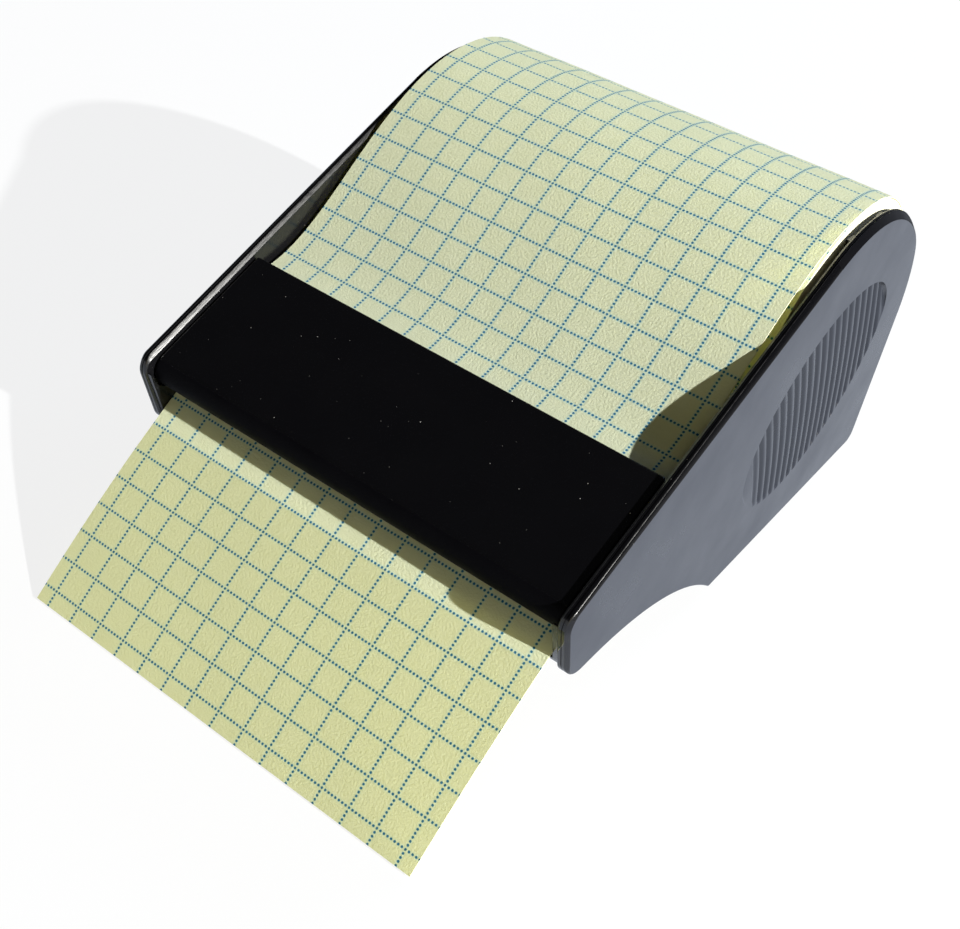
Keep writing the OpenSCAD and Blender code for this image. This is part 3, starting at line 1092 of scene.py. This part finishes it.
        out = np.array([points[number][1:] for number in edge]) - middle
        grown = middle + out * (1 + self.support / np.linalg.norm(out, axis=1))[:, None]
        lip = add_ring(points, [(self.layout.outer_half, y, z) for y, z in grown])
        return lip, faces + ring_faces([edge, lip])

    def scoop_profile(self, local: np.ndarray, station: float, from_start: float) -> np.ndarray:
        """Gives the depth of the scoop along one line across it.

        Args:
            local: Places on the line, along and across the oval.
            station: Distance of the line from the middle line of the ribs.
            from_start: Distance of the line from the front end of the scoop.

        Returns:
            The depth below the face at each place.
        """
        unit = local / np.array([self.grip_a, self.grip_b])
        rho = np.minimum(np.linalg.norm(unit, axis=1), 1.0)
        room = np.sqrt(np.maximum(1 - unit[:, 0] ** 2, self.least_room))
        climb = np.clip((unit[:, 1] / room + 1) / 2, 0, 1)
        groove = (0.5 + 0.5 * math.cos(2 * math.pi * station / self.rib_pitch)) ** 2
        groove *= min(max((from_start - self.rib_start) / self.rib_pitch, 0.0), 1.0)
        soft = self.wall_fade + (self.tooth_fade - self.wall_fade) * np.clip(2 * (1 - climb), 0, 1)
        fade = np.clip((1 - rho) / soft, 0, 1)
        fade = fade * (2 - fade)
        wall = np.minimum((1 - rho) / self.wall_fade, 1)
        return self.scoop_depth * climb * wall + self.rib_depth * groove * fade

    def inner_features(self, sign: int, web: LoosePaper) -> list[Piece]:
        """Makes the hub seat, the ledge under the bar, the cheek beside the paper and the screw bosses.

        Args:
            sign: The sign of X at their end.
            web: The paper, beside which the cheek stands.

        Returns:
            Closed meshes that run a little into the panel.
        """
        lay = self.layout
        root = lay.inner_half + self.root_in
        outer_r = self.seat_r + self.seat_wall
        arm_top = lay.panel_top - self.seat_drop
        seat = np.concatenate([
            arc(lay.axis, outer_r, 180, 360, self.seat_steps),
            [(outer_r, arm_top), (self.seat_r, arm_top)],
            arc(lay.axis, self.seat_r, 360, 180, self.seat_steps),
            [(-self.seat_r, arm_top), (-outer_r, arm_top)],
        ])
        low = -self.ledge_drop
        high = self.ledge_h - self.ledge_drop
        near = self.ledge_from
        far = self.ledge_to
        ledge = [lay.on_slope(u, n) for u, n in ((near, low), (far, low), (far, high), (near, high))]
        tools = []
        for name, outline, clear in (
            ("seat", seat, self.seat_clear),
            ("ledge", ledge, self.ledge_clear),
            ("cheek", self.cheek(web), self.cheek_clear),
        ):
            tools.append(prism_piece(name, outline, sign * (lay.paper_half + clear), sign * root))
        middle = lay.inner_half - self.boss_r
        for y in (-self.boss_y, self.boss_y):
            bend = arc((middle, y), self.boss_r, 90, 270, self.boss_steps)
            flat = [*bend, (root, y - self.boss_r), (root, y + self.boss_r)]
            outline = [(sign * x, v) for x, v in flat]
            tools.append(prism_piece("boss", outline, self.boss_z, self.boss_z + self.boss_h, upright=True))
        return tools

    def cheek(self, web: LoosePaper) -> np.ndarray:
        """Gives the side view of the nose's cheek, which is free of the bar and of the nose piece.

        Args:
            web: The paper that runs past it.

        Returns:
            Its points as Y and Z.
        """
        lay = self.layout
        run = ahead_of(web.exit_slope)
        under = np.array([run[1], -run[0]])
        floor_at = web.exit + self.cheek_drop * under
        front = lay.outline(self.cheek_inset)
        above = (front - floor_at) @ under < 0
        clear = np.linalg.norm(front - lay.hinge, axis=1) > self.cheek_swing
        nose = front[above & clear & (front[:, 0] < lay.hinge[0]) & (front[:, 1] < lay.hinge[1])]
        back = floor_at + run * (self.cheek_back - floor_at[0]) / run[0]
        start = math.degrees(math.atan2(*(nose[0] - lay.hinge)[::-1])) % 360
        swing = arc(lay.hinge, self.cheek_swing, self.cheek_swing_from, start, self.cheek_steps)
        foot = floor_at + run * ((nose[-1] - floor_at) @ run)
        return np.concatenate([nose, [foot, back], swing])


@dataclass
class HingedBar:
    """The gloss bar over the paper exit: a plate on two knuckles whose front curls down to a tearing edge.

    Its section is drawn in the slope of the panels' top edge: u runs up the slope from the hinge and
    n stands out of it. The first finish is polished, and the curl keeps it over its first degrees. The
    second is painted shade on the rest of the curl: a black that hardly mirrors, so that it stays dark.
    """

    layout: Layout
    finishes: tuple[Finish, Finish]
    crisp_angle: float = 30.0
    drop: float = 1.0
    thick: float = 1.9
    lead: float = 3.2
    rear: float = 22.1
    curl_r: float = 3.0
    curl: float = 110.0
    lip_round: float = 0.4
    rear_round: float = 0.4
    under_round: float = 0.4
    end_round: float = 0.35
    steps: int = 6
    curl_steps: int = 28
    # Degrees of the curl that keep the gloss; past them the curl gets the painted shade finish.
    polished: float = 20.0
    support: float = 0.25
    knuckle_r: float = 2.32
    knuckle_l: float = 7.0
    knuckle_in: float = 0.06
    knuckle_sides: int = 56
    bore_r: float = 1.32
    bore_over: float = 1.0
    bore_sides: int = 40

    def build(self) -> Piece:
        """Builds and dresses the bar.

        Returns:
            The bar.
        """
        half = self.layout.box("tear_bar")[1][0]
        bar = self.plate(half)
        dress(bar, *self.finishes)
        knuckle = circle(self.layout.hinge, self.knuckle_r, self.knuckle_sides)
        bore = circle(self.layout.hinge, self.bore_r, self.bore_sides)
        for sign in (-1, 1):
            low, high = sorted((sign * (half - self.knuckle_l), sign * (half - self.knuckle_in)))
            cut_or_join(bar, prism_piece("knuckle", knuckle, low, high), Change.JOIN)
            hole = prism_piece("bore", bore, low - self.bore_over, high + self.bore_over)
            cut_or_join(bar, hole, Change.CUT)
        soften(bar.data, self.crisp_angle)
        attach(bar, "bar")
        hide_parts("tear_bar")
        return bar

    def section(self) -> tuple[np.ndarray, np.ndarray]:
        """Gives the section of the bar.

        Returns:
            Its points and their outward directions, anticlockwise from the top of the curl.
        """
        centre = np.array([self.curl_r - self.lead, -self.drop - self.curl_r])
        inner_r = self.curl_r - self.thick
        lip = 90 + self.curl
        mid_out = self.curl_r - self.lip_round
        mid_in = inner_r + self.lip_round
        turn_out = lip - math.degrees(math.asin(self.lip_round / mid_out))
        turn_in = lip - math.degrees(math.asin(self.lip_round / mid_in))
        corner_out = centre + mid_out * ahead_of(turn_out)
        corner_in = centre + mid_in * ahead_of(turn_in)
        low = np.array([self.rear - self.under_round, self.under_round - self.drop - self.thick])
        high = np.array([self.rear - self.rear_round, -self.drop - self.rear_round])
        aside = np.array([self.support, 0])
        runs = [
            (centre, self.curl_r, 90, turn_out, self.curl_steps),
            (corner_out, self.lip_round, turn_out, lip + 90, self.steps),
            (corner_in, self.lip_round, lip + 90, turn_in + 180, self.steps),
            (centre, -inner_r, turn_in + 180, 270, self.curl_steps),
            (centre + aside, -inner_r, 270, 270, 0),
            (low - aside, self.under_round, 270, 270, 0),
            (low, self.under_round, 270, 360, self.steps),
            (high, self.rear_round, 0, 90, self.steps),
            (high - aside, self.rear_round, 90, 90, 0),
            (centre + aside, self.curl_r, 90, 90, 0),
        ]
        points = np.concatenate([arc(c, r, a, b, n) for c, r, a, b, n in runs])
        outward = np.concatenate([arc((0, 0), 1.0, a, b, n) for _, _, a, b, n in runs])
        return points, outward

    def plate(self, half: float) -> Piece:
        """Builds the curled plate with rounded ends.

        Args:
            half: Half of its length across the paper.

        Returns:
            The plate as a closed mesh.
        """
        section, outward = self.section()
        flat = half - self.end_round
        turns = np.linspace(0, math.pi / 2, self.steps + 1)
        ends = [(flat - self.support, 0.0)]
        ends += [(flat + self.end_round * math.sin(t), self.end_round * (1 - math.cos(t))) for t in turns]
        points: list[Spot] = []
        rings = []
        for x, inset in [(-x, inset) for x, inset in reversed(ends)] + ends:
            ring = [(x, *self.layout.on_slope(u, n)) for u, n in section - inset * outward]
            rings.append(add_ring(points, ring))
        faces = [*ring_faces(rings), rings[0], rings[-1]]
        # The rest of the curl and its lip get the painted shade finish in slot 1.
        shaded_from = int(self.curl_steps * self.polished / self.curl)
        shaded_to = self.curl_steps + 2 * self.steps + 2
        across = [int(shaded_from <= i < shaded_to) for i in range(len(section))]
        kinds = across * (len(rings) - 1) + [0, 0]
        return make_piece("tear_bar_moulding", points, faces, self.crisp_angle, kinds)


@dataclass
class LoosePaper:
    """The loose sheet from the roll to the exit, and the note that hangs out in front.

    The cockle of the paper is two low waves. Each has its length across the paper, how far it shifts
    per millimetre along it, and where it starts.
    """

    layout: Layout
    thick: float = 0.2
    solid_thick: float = 0.3
    gap: float = 0.3
    wrap_start: float = -35.0
    wrap_end: float = 88.0
    wrap_steps: int = 110
    bulge: float = 23.5
    settle: float = 16.0
    bow_steps: int = 80
    in_slope: float = 10.0
    guide_steps: int = 10
    run_steps: int = 40
    exit_rise: float = 2.9
    tail_gap: float = 0.01
    tail_steps: int = 65
    tip_z: float = 0.5
    tip_slope: float = 42.0
    columns: int = 60
    row_y: float = -1.65
    cockle_h: float = 0.02
    cockles: tuple[Spot, Spot] = ((7.3, 0.21, 0.0), (4.1, -1 / 6.7, 1.3))

    def __post_init__(self) -> None:
        """Works out the paths of both sheets."""
        lay = self.layout
        self.wrap_r = lay.roll_r + self.gap + self.solid_thick / 2
        self.web_r = lay.guide_r + self.gap + self.solid_thick / 2
        self.exit = np.array([-lay.nose_reach, lay.nose_low + self.exit_rise])
        run = lay.guide - self.exit
        lift = math.asin(self.web_r / np.linalg.norm(run))
        self.exit_slope = math.degrees(math.atan2(run[1], run[0]) + lift)
        self.lead_path = self.lead_points()
        self.tail_path = self.tail_points()
        self.lead_s = self.lengths(self.lead_path)
        self.tail_s = self.lengths(self.tail_path) + self.lead_s[-1] + self.tail_gap
        top = self.lead_path[:, 1] > lay.axis[1]
        self.row_phase = float(np.interp(-self.row_y, -self.lead_path[top, 0], self.lead_s[top]))

    def lengths(self, path: np.ndarray) -> np.ndarray:
        """Gives the length along a path at each of its points."""
        steps = np.linalg.norm(np.diff(path, axis=0), axis=1)
        return np.concatenate([[0.0], np.cumsum(steps)])

    def lead_points(self) -> np.ndarray:
        """Gives the path round the roll, over the guide roller and straight to the exit.

        Returns:
            Its points as Y and Z.
        """
        lay = self.layout
        wrap = arc(lay.axis, self.wrap_r, self.wrap_start, self.wrap_end, self.wrap_steps)
        over = arc(lay.guide, self.web_r, 90 + self.in_slope, 90 + self.exit_slope, self.guide_steps)
        p0 = wrap[-1]
        p3 = over[0]
        p1 = p0 + self.bulge * ahead_of(self.wrap_end + 90)
        p2 = p3 + self.settle * ahead_of(self.in_slope)
        t = np.linspace(0, 1, self.bow_steps + 1)[1:-1, None]
        s = 1 - t
        bow = s ** 3 * p0 + 3 * s ** 2 * t * p1 + 3 * s * t ** 2 * p2 + t ** 3 * p3
        straight = np.linspace(over[-1], self.exit, self.run_steps + 1)[1:]
        return np.concatenate([wrap, bow, over, straight])

    def tail_points(self) -> np.ndarray:
        """Gives the path of the hanging note, which gets steeper evenly along its length.

        Returns:
            Its points as Y and Z.
        """
        leave = ahead_of(self.exit_slope)
        start = self.exit - self.tail_gap * leave
        radius = (start[1] - self.tip_z) / (leave[0] - ahead_of(self.tip_slope)[0])
        a = np.radians(np.linspace(self.exit_slope, self.tip_slope, self.tail_steps + 1))
        return start - radius * np.stack([np.sin(a) - leave[1], leave[0] - np.cos(a)], axis=1)

    def wave(self, x: np.ndarray, s: float) -> np.ndarray:
        """Gives the slight cockle of the paper, in millimetres."""
        waves = [np.sin(x / across + along * s + start) for across, along, start in self.cockles]
        return self.cockle_h * sum(waves)

    def build(self, prints: Sequence[Finish], back: Finish, edge: Finish) -> list[Piece]:
        """Builds and dresses the two sheets.

        Args:
            prints: Printed faces of the lead and of the tail.
            back: The unprinted face of both.
            edge: The cut edges of both.

        Returns:
            The lead and the tail.
        """
        lead = self.sheet("paper_lead_sheet", self.lead_path, self.lead_s)
        tail = self.sheet("note_tail_sheet", self.tail_path, self.tail_s)
        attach(lead, "case")
        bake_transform(tail)
        for piece, face, node, lengths, held in (
            (lead, prints[0], "paper_lead", self.lead_s, "stretched"),
            (tail, prints[1], "note_tail", self.tail_s, "hung"),
        ):
            dress(piece, face, back, edge)
            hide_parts(node)
        return [lead, tail]

    def sheet(self, name: str, path: np.ndarray, lengths: np.ndarray) -> Piece:
        """Builds one sheet with its print, its back and its cut edges.

        Args:
            name: Name of the piece.
            path: Middle line of the sheet as Y and Z.
            lengths: Length along the sheet at each point.

        Returns:
            The sheet as a closed thin slab.
        """
        ahead = np.gradient(path, axis=0)
        normal = np.stack([ahead[:, 1], -ahead[:, 0]], axis=1)
        normal *= np.sign(normal[len(path) // 2][1])
        normal /= np.linalg.norm(normal, axis=1)[:, None]
        across = np.linspace(-self.layout.paper_half, self.layout.paper_half, self.columns + 1)
        per_row = self.columns + 1
        points = []
        place = []
        for level in (0.5, -0.5):
            for spot, out, s in zip(path, normal, lengths):
                lift = level * self.thick + self.wave(across, s)
                points += [(x, *(spot + h * out)) for x, h in zip(across, lift)]
                place += [(x, s) for x in across]
        last = len(path) - 1
        under = len(path) * per_row
        faces: list[Sequence[int]] = []
        for i in range(last):
            for j in range(self.columns):
                k = i * per_row + j
                quad = (k, k + 1, k + per_row + 1, k + per_row)
                faces += [quad, tuple(under + c for c in reversed(quad))]
        kinds = [SheetFace.PRINT.value, SheetFace.BACK.value] * (len(faces) // 2)
        border = [(0, j) for j in range(self.columns)] + [(i, self.columns) for i in range(last)]
        border += [(last, j) for j in range(self.columns, 0, -1)] + [(i, 0) for i in range(last, 0, -1)]
        edge = [i * per_row + j for i, j in border]
        faces += ring_faces([edge, [under + k for k in edge]])
        kinds += [SheetFace.EDGE.value] * len(edge)
        piece = make_piece(name, points, faces, kinds=kinds)
        map_sheet(piece, faces, [[place[corner] for corner in face] for face in faces])
        return piece


@dataclass
class WoundRoll:
    """The wound paper, with its printed outside and the layered paper edges at its ends.

    The first finish is the print, the second the cut edges.
    """

    layout: Layout
    paper: LoosePaper
    finishes: tuple[Finish, Finish]
    core_r: float = 13.03
    layer_step: float = 0.45
    layer_slip: float = 0.05
    seed: int = 7
    sides: int = 180
    columns: int = 60
    air: float = 0.1

    def build(self) -> Piece:
        """Builds and dresses the roll.

        Returns:
            The roll.
        """
        lay = self.layout
        radius = self.paper.wrap_r - self.paper.thick / 2 - self.air
        profile, outside = self.profile(radius)
        points: list[Spot] = []
        rings = []
        for i in range(self.sides):
            a = 2 * math.pi * i / self.sides
            ring = [(x, lay.axis[0] + r * math.cos(a), lay.axis[1] + r * math.sin(a)) for x, r in profile]
            rings.append(add_ring(points, ring))
        faces = ring_faces([*rings, rings[0]])
        start = math.radians(self.paper.wrap_start)
        places = []
        for i in range(self.sides):
            low, high = ((2 * math.pi * k / self.sides - start) * radius for k in (i, i + 1))
            for (x0, _), (x1, _) in zip(profile, profile[1:] + profile[:1]):
                places.append(((x0, low), (x1, low), (x1, high), (x0, high)))
        kinds = [int(j not in outside) for _ in range(self.sides) for j in range(len(profile))]
        roll = make_piece("paper_roll_wound", points, faces, kinds=kinds)
        map_sheet(roll, faces, places)
        dress(roll, *self.finishes)
        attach(roll, "roll")
        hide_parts("paper_roll")
        return roll

    def profile(self, radius: float) -> tuple[list[tuple[float, float]], range]:
        """Gives the section of the roll, whose layers have slipped a little at its ends.

        Args:
            radius: Radius of its outside.

        Returns:
            X and radius of its points, and the numbers of those that start a printed face.
        """
        half = self.layout.paper_half
        layers = int((radius - self.core_r) / self.layer_step)
        radii = np.linspace(self.core_r, radius, layers + 1)
        slip = np.random.default_rng(self.seed).uniform(0, self.layer_slip, (2, layers + 1))
        points = [(-half + d, r) for d, r in zip(slip[0], radii)]
        outside = range(layers, layers + self.columns)
        points += [(x, radius) for x in np.linspace(-half, half, self.columns + 1)[1:-1]]
        points += [(half - d, r) for d, r in zip(slip[1], radii[::-1])]
        return points, outside


@dataclass
class CarriedParts:
    """The solids that keep their shape: base, nose, guide, hubs and fasteners."""

    frame: dict
    satin: Finish
    gloss: Finish

    def dress_all(self) -> list[str]:
        """Gives each remaining solid its finish.

        Returns:
            The names of the solids that were dressed.
        """
        # Moulded acetal is waxy and nearly black, with a soft sheen.
        acetal = GrainedSolid("acetal_moulded", "#1b1b1e", "#26262a", roughness=0.42, grain_mm=0.6)
        # Moulded rubber is matt, with a fine tooth.
        rubber = GrainedSolid(
            "rubber_moulded", "#232323", "#333230", roughness=0.85, grain_mm=0.5, depth_mm=0.08
        )
        # Wound board is dull, with fibres along the tube.
        board = GrainedSolid(
            "board_wound", "#a8916b", "#8d7752", roughness=0.9, grain_mm=1.2, stretch=3.0, depth_mm=0.06
        )
        # Drawn steel is bright, with fine lines along the rod.
        drawn = GrainedSolid(
            "steel_drawn", "#c3c4c6", "#a9abae", roughness=0.25, grain_mm=0.15, stretch=12.0, metallic=1.0
        )
        # Zinc plating is cool and a little cloudy.
        plated = GrainedSolid(
            "steel_zinc_plated", "#b9bcc2", "#9ea2a8", roughness=0.36, grain_mm=0.8, metallic=1.0
        )
        # Cold-rolled steel is darker, with streaks from the rolls.
        rolled = GrainedSolid(
            "steel_cold_rolled", "#8e9092", "#6f7173", roughness=0.45, grain_mm=0.7, stretch=5.0, metallic=1.0
        )
        solids = (
            (self.satin, ["base_tray"]),
            (self.gloss, ["nose_platen"]),
            (rubber.make(), ["non_slip_pad"]),
            (plated.make(), ["base_screws"]),
            (rolled.make(), ["ballast_bar"]),
            (drawn.make(), ["left_hinge_pin", "right_hinge_pin", "guide_axle"]),
            (acetal.make(), ["guide_roller", "left_hub", "right_hub"]),
            (board.make(), ["roll_core"]),
        )
        for finish, names in solids:
            for name in names:
                dress(self.frame["nodes"][name], finish)
        return [name for _, names in solids for name in names]


@dataclass(frozen=True)
class Lamp:
    """A square lamp: where it stands and the length of its side in metres, its power in watts, its colour."""

    name: str
    place_m: Spot
    side_m: float
    power_w: float
    colour: str


@dataclass
class Studio:
    """Camera, floor, lamps and surroundings.

    A band is the part of the height of the sky, from 0 to 1, over which its colour changes.
    """

    position: Spot = (90.3, -180.56, 151.75)
    right: Spot = (0.79006, 0.604, 0.10482)
    down: Spot = (0.47652, -0.49752, -0.72484)
    ahead: Spot = (-0.38566, 0.62262, -0.68089)
    lens_mm: float = 48.9
    sensor_mm: float = 36.0
    nearest_m: float = 0.01
    centre_px: tuple[float, float] = (480.0, 540.0)
    floor_m: float = 40.0
    floor_colour: str = "#d9dce0"
    floor_rough: float = 0.9
    floor_white: float = 0.85
    floor_seen: str = "#ffffff"
    floor_mirrored: str = "#dee6f4"
    horizon_colour: str = "#4c4a42"
    horizon_band: tuple[float, float] = (0.1, 0.55)
    backdrop_colour: str = "#e9ebee"
    backdrop_band: tuple[float, float] = (0.24, 0.42)
    zenith_colour: str = "#26272a"
    sky_strength: float = 0.9
    aim_m: Spot = (0.0, -0.035, 0.03)
    lamps: tuple[Lamp, ...] = (
        Lamp("key_light", (2.727, -0.215, 1.392), 0.045, 245.0, "#fffdf8"),
        Lamp("back_fill", (0.15, 0.9, 0.5), 0.4, 5.6, "#cfe1ff"),
        Lamp("front_fill", (0.35, -0.85, 0.5), 0.6, 1.3, "#ffecaa"),
    )

    def build(self) -> None:
        """Sets up the whole studio."""
        self.add_camera()
        self.add_floor()
        self.add_world()
        for lamp in self.lamps:
            self.add_lamp(lamp)
        bpy.context.scene.view_settings.view_transform = "Standard"

    def add_camera(self) -> None:
        """Adds the camera at the photograph's viewpoint."""
        data = bpy.data.cameras.new("camera")
        data.sensor_width = self.sensor_mm
        data.lens = self.lens_mm
        data.shift_x = (IMAGE_W / 2 - self.centre_px[0]) / IMAGE_W
        data.shift_y = (self.centre_px[1] - IMAGE_H / 2) / IMAGE_W
        data.clip_start = self.nearest_m
        camera = bpy.data.objects.new("camera", data)
        bpy.context.scene.collection.objects.link(camera)
        turn = Matrix((self.right, [-v for v in self.down], [-v for v in self.ahead])).transposed()
        camera.matrix_world = Matrix.Translation(Vector(self.position) * MM) @ turn.to_4x4()
        bpy.context.scene.camera = camera

    def add_floor(self) -> None:
        """Adds the pale floor, most of whose white is its own, so that the shadow on it stays light."""
        half = self.floor_m / 2 / MM
        corners = [(-half, -half, 0), (half, -half, 0), (half, half, 0), (-half, half, 0)]
        floor = make_piece("studio_floor", corners, [(0, 1, 2, 3)])
        finish, tree = new_finish("floor_paper_sweep")
        matt = {"Base Color": linear(self.floor_colour), "Roughness": self.floor_rough}
        paper = add(tree, "ShaderNodeBsdfPrincipled", matt)
        seen = self.seen_rays(tree)
        share = add(tree, "ShaderNodeMath", {0: seen, 1: self.floor_white}, operation="MULTIPLY")
        direct = add(tree, "ShaderNodeLightPath").outputs["Is Camera Ray"]
        tones = {"Factor": direct, "A": linear(self.floor_mirrored), "B": linear(self.floor_seen)}
        tone = add(tree, "ShaderNodeMix", tones, data_type="RGBA")
        white = add(tree, "ShaderNodeEmission", {"Color": tone})
        both = add(tree, "ShaderNodeMixShader", {0: share, 1: paper, 2: white})
        add(tree, "ShaderNodeOutputMaterial", {"Surface": both})
        dress(floor, finish)

    def seen_rays(self, tree: Tree) -> Socket:
        """Adds the nodes that tell what is seen, mirrored or looked through from what only lights.

        Args:
            tree: The nodes of the floor or the surroundings.

        Returns:
            1 for what is seen and 0 for the rest.
        """
        ray = add(tree, "ShaderNodeLightPath").outputs
        seen = ray["Is Camera Ray"]
        for kind in ("Is Glossy Ray", "Is Transmission Ray"):
            seen = add(tree, "ShaderNodeMath", {0: seen, 1: ray[kind]}, operation="MAXIMUM").outputs[0]
        return seen

    def add_world(self) -> None:
        """Adds dim surroundings, in which a pale backdrop is seen and mirrored behind the floor."""
        world = bpy.data.worlds.new("studio")
        bpy.context.scene.world = world
        world.use_nodes = True
        tree = world.node_tree
        tree.nodes.clear()
        direction = add(tree, "ShaderNodeTexCoord").outputs["Generated"]
        height = add(tree, "ShaderNodeSeparateXYZ", {"Vector": direction}).outputs["Z"]
        skies = []
        for colour, (low, high) in (
            (self.horizon_colour, self.horizon_band),
            (self.backdrop_colour, self.backdrop_band),
        ):
            band = {"Value": height, "From Min": low, "From Max": high}
            climb = add(tree, "ShaderNodeMapRange", band, interpolation_type="SMOOTHSTEP")
            tones = {"Factor": climb, "A": linear(colour), "B": linear(self.zenith_colour)}
            skies.append(add(tree, "ShaderNodeMix", tones, data_type="RGBA"))
        views = {"Factor": self.seen_rays(tree), "A": skies[0], "B": skies[1]}
        both = add(tree, "ShaderNodeMix", views, data_type="RGBA")
        back = add(tree, "ShaderNodeBackground", {"Color": both, "Strength": self.sky_strength})
        add(tree, "ShaderNodeOutputWorld", {"Surface": back})

    def add_lamp(self, lamp: Lamp) -> None:
        """Adds a lamp that faces the dispenser.

        Args:
            lamp: What it is and where it stands.
        """
        data = bpy.data.lights.new(lamp.name, "AREA")
        data.color = linear(lamp.colour)[:3]
        data.size = lamp.side_m
        data.energy = lamp.power_w
        made = bpy.data.objects.new(lamp.name, data)
        bpy.context.scene.collection.objects.link(made)
        made.location = lamp.place_m
        aim = Vector(self.aim_m) - Vector(lamp.place_m)
        made.rotation_euler = aim.to_track_quat("-Z", "Y").to_euler()


def main() -> None:
    """Builds the dispenser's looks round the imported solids."""
    logging.basicConfig(level=logging.INFO, format="%(name)s: %(message)s")
    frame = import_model()
    Studio().build()
    layout = Layout(frame)
    # The panels' faces: a fine grain spreads the light to an even grey. The dark grey of both colours is the
    # plastic's own; their blue cast is painted sky light.
    satin = MouldedAbs(
        name="abs_satin_moulded",
        colour="#12151e",
        flow_colour="#181c26",
        roughness=0.3,
        grain_mm=0.35,
        flow_mm=16.0,
        dust=Dust(speck_mm=8.0, speck_r_mm=0.1),
    ).make()
    # The bar, the nose and the rims: deep black, with a sharp reflection.
    gloss = MouldedAbs(
        name="abs_gloss_moulded",
        colour="#060608",
        flow_colour="#09090b",
        roughness=0.08,
        grain_mm=7.0,
        grain_depth_mm=0.04,
        dust=Dust(speck_mm=1.9, speck_r_mm=0.08),
    ).make()
    # Painted shade on the curl of the bar and the back of the rims: a black that hardly mirrors, so that they
    # stay dark where the gloss would mirror the pale backdrop and the lamps.
    lip = MouldedAbs(
        name="abs_black_painted_shade",
        colour="#050507",
        flow_colour="#08080b",
        roughness=0.45,
        grain_mm=0.3,
        dust=Dust(speck_mm=5.0, speck_r_mm=0.08),
        specular=0.02,
    ).make()
    # The edges of the rims: scuffs catch the light along the slope.
    worn = MouldedAbs(
        name="abs_gloss_worn_edge",
        colour="#070709",
        flow_colour="#0c0c0e",
        roughness=0.3,
        grain_mm=0.16,
        grain_depth_mm=0.04,
        dust=Dust(speck_mm=5.0, speck_r_mm=0.1),
        scuff_long=9.0,
        scuff_slope=layout.slope,
    ).make()
    # The panels' inner faces: paper dust all over.
    inside = MouldedAbs(
        name="abs_inside_dusty",
        colour="#0b0b0d",
        flow_colour="#121214",
        roughness=0.22,
        grain_mm=0.5,
        grain_depth_mm=0.03,
        flow_mm=6.0,
        dust=Dust(speck_mm=0.7, speck_r_mm=0.07),
    ).make()
    paper = LoosePaper(layout)
    tail_print = NotePaper().make(paper.row_phase)
    # Painted light: the paper over the roll is the same note paper, made to let less light through so that it
    # renders brighter than the hanging note.
    lead_print = NotePaper(name="note_paper_over_roll", through=0.31).make(paper.row_phase)
    wound_print = NotePaper(name="note_paper_wound", through=0.0).make(paper.row_phase)
    back = PlainPaper("note_paper_back", "#e9e4a6", "#e0da96", layer_mm=1.5, through=0.9).make()
    edge = PlainPaper("note_paper_cut_edge", "#e9e7d0", "#d6d3b2", layer_mm=0.3).make()
    pieces = SidePanels(layout, (inside, satin, gloss, worn, lip)).build(paper)
    pieces.append(HingedBar(layout, (gloss, lip)).build())
    pieces += paper.build((lead_print, tail_print), back, edge)
    pieces.append(WoundRoll(layout, paper, (wound_print, edge)).build())
    for piece in pieces:
        LOG.info("made %s with %d faces", piece.name, len(piece.data.polygons))
    for name in CarriedParts(frame, satin, gloss).dress_all():
        LOG.info("dressed %s", name)


if __name__ == "__main__":
    main()
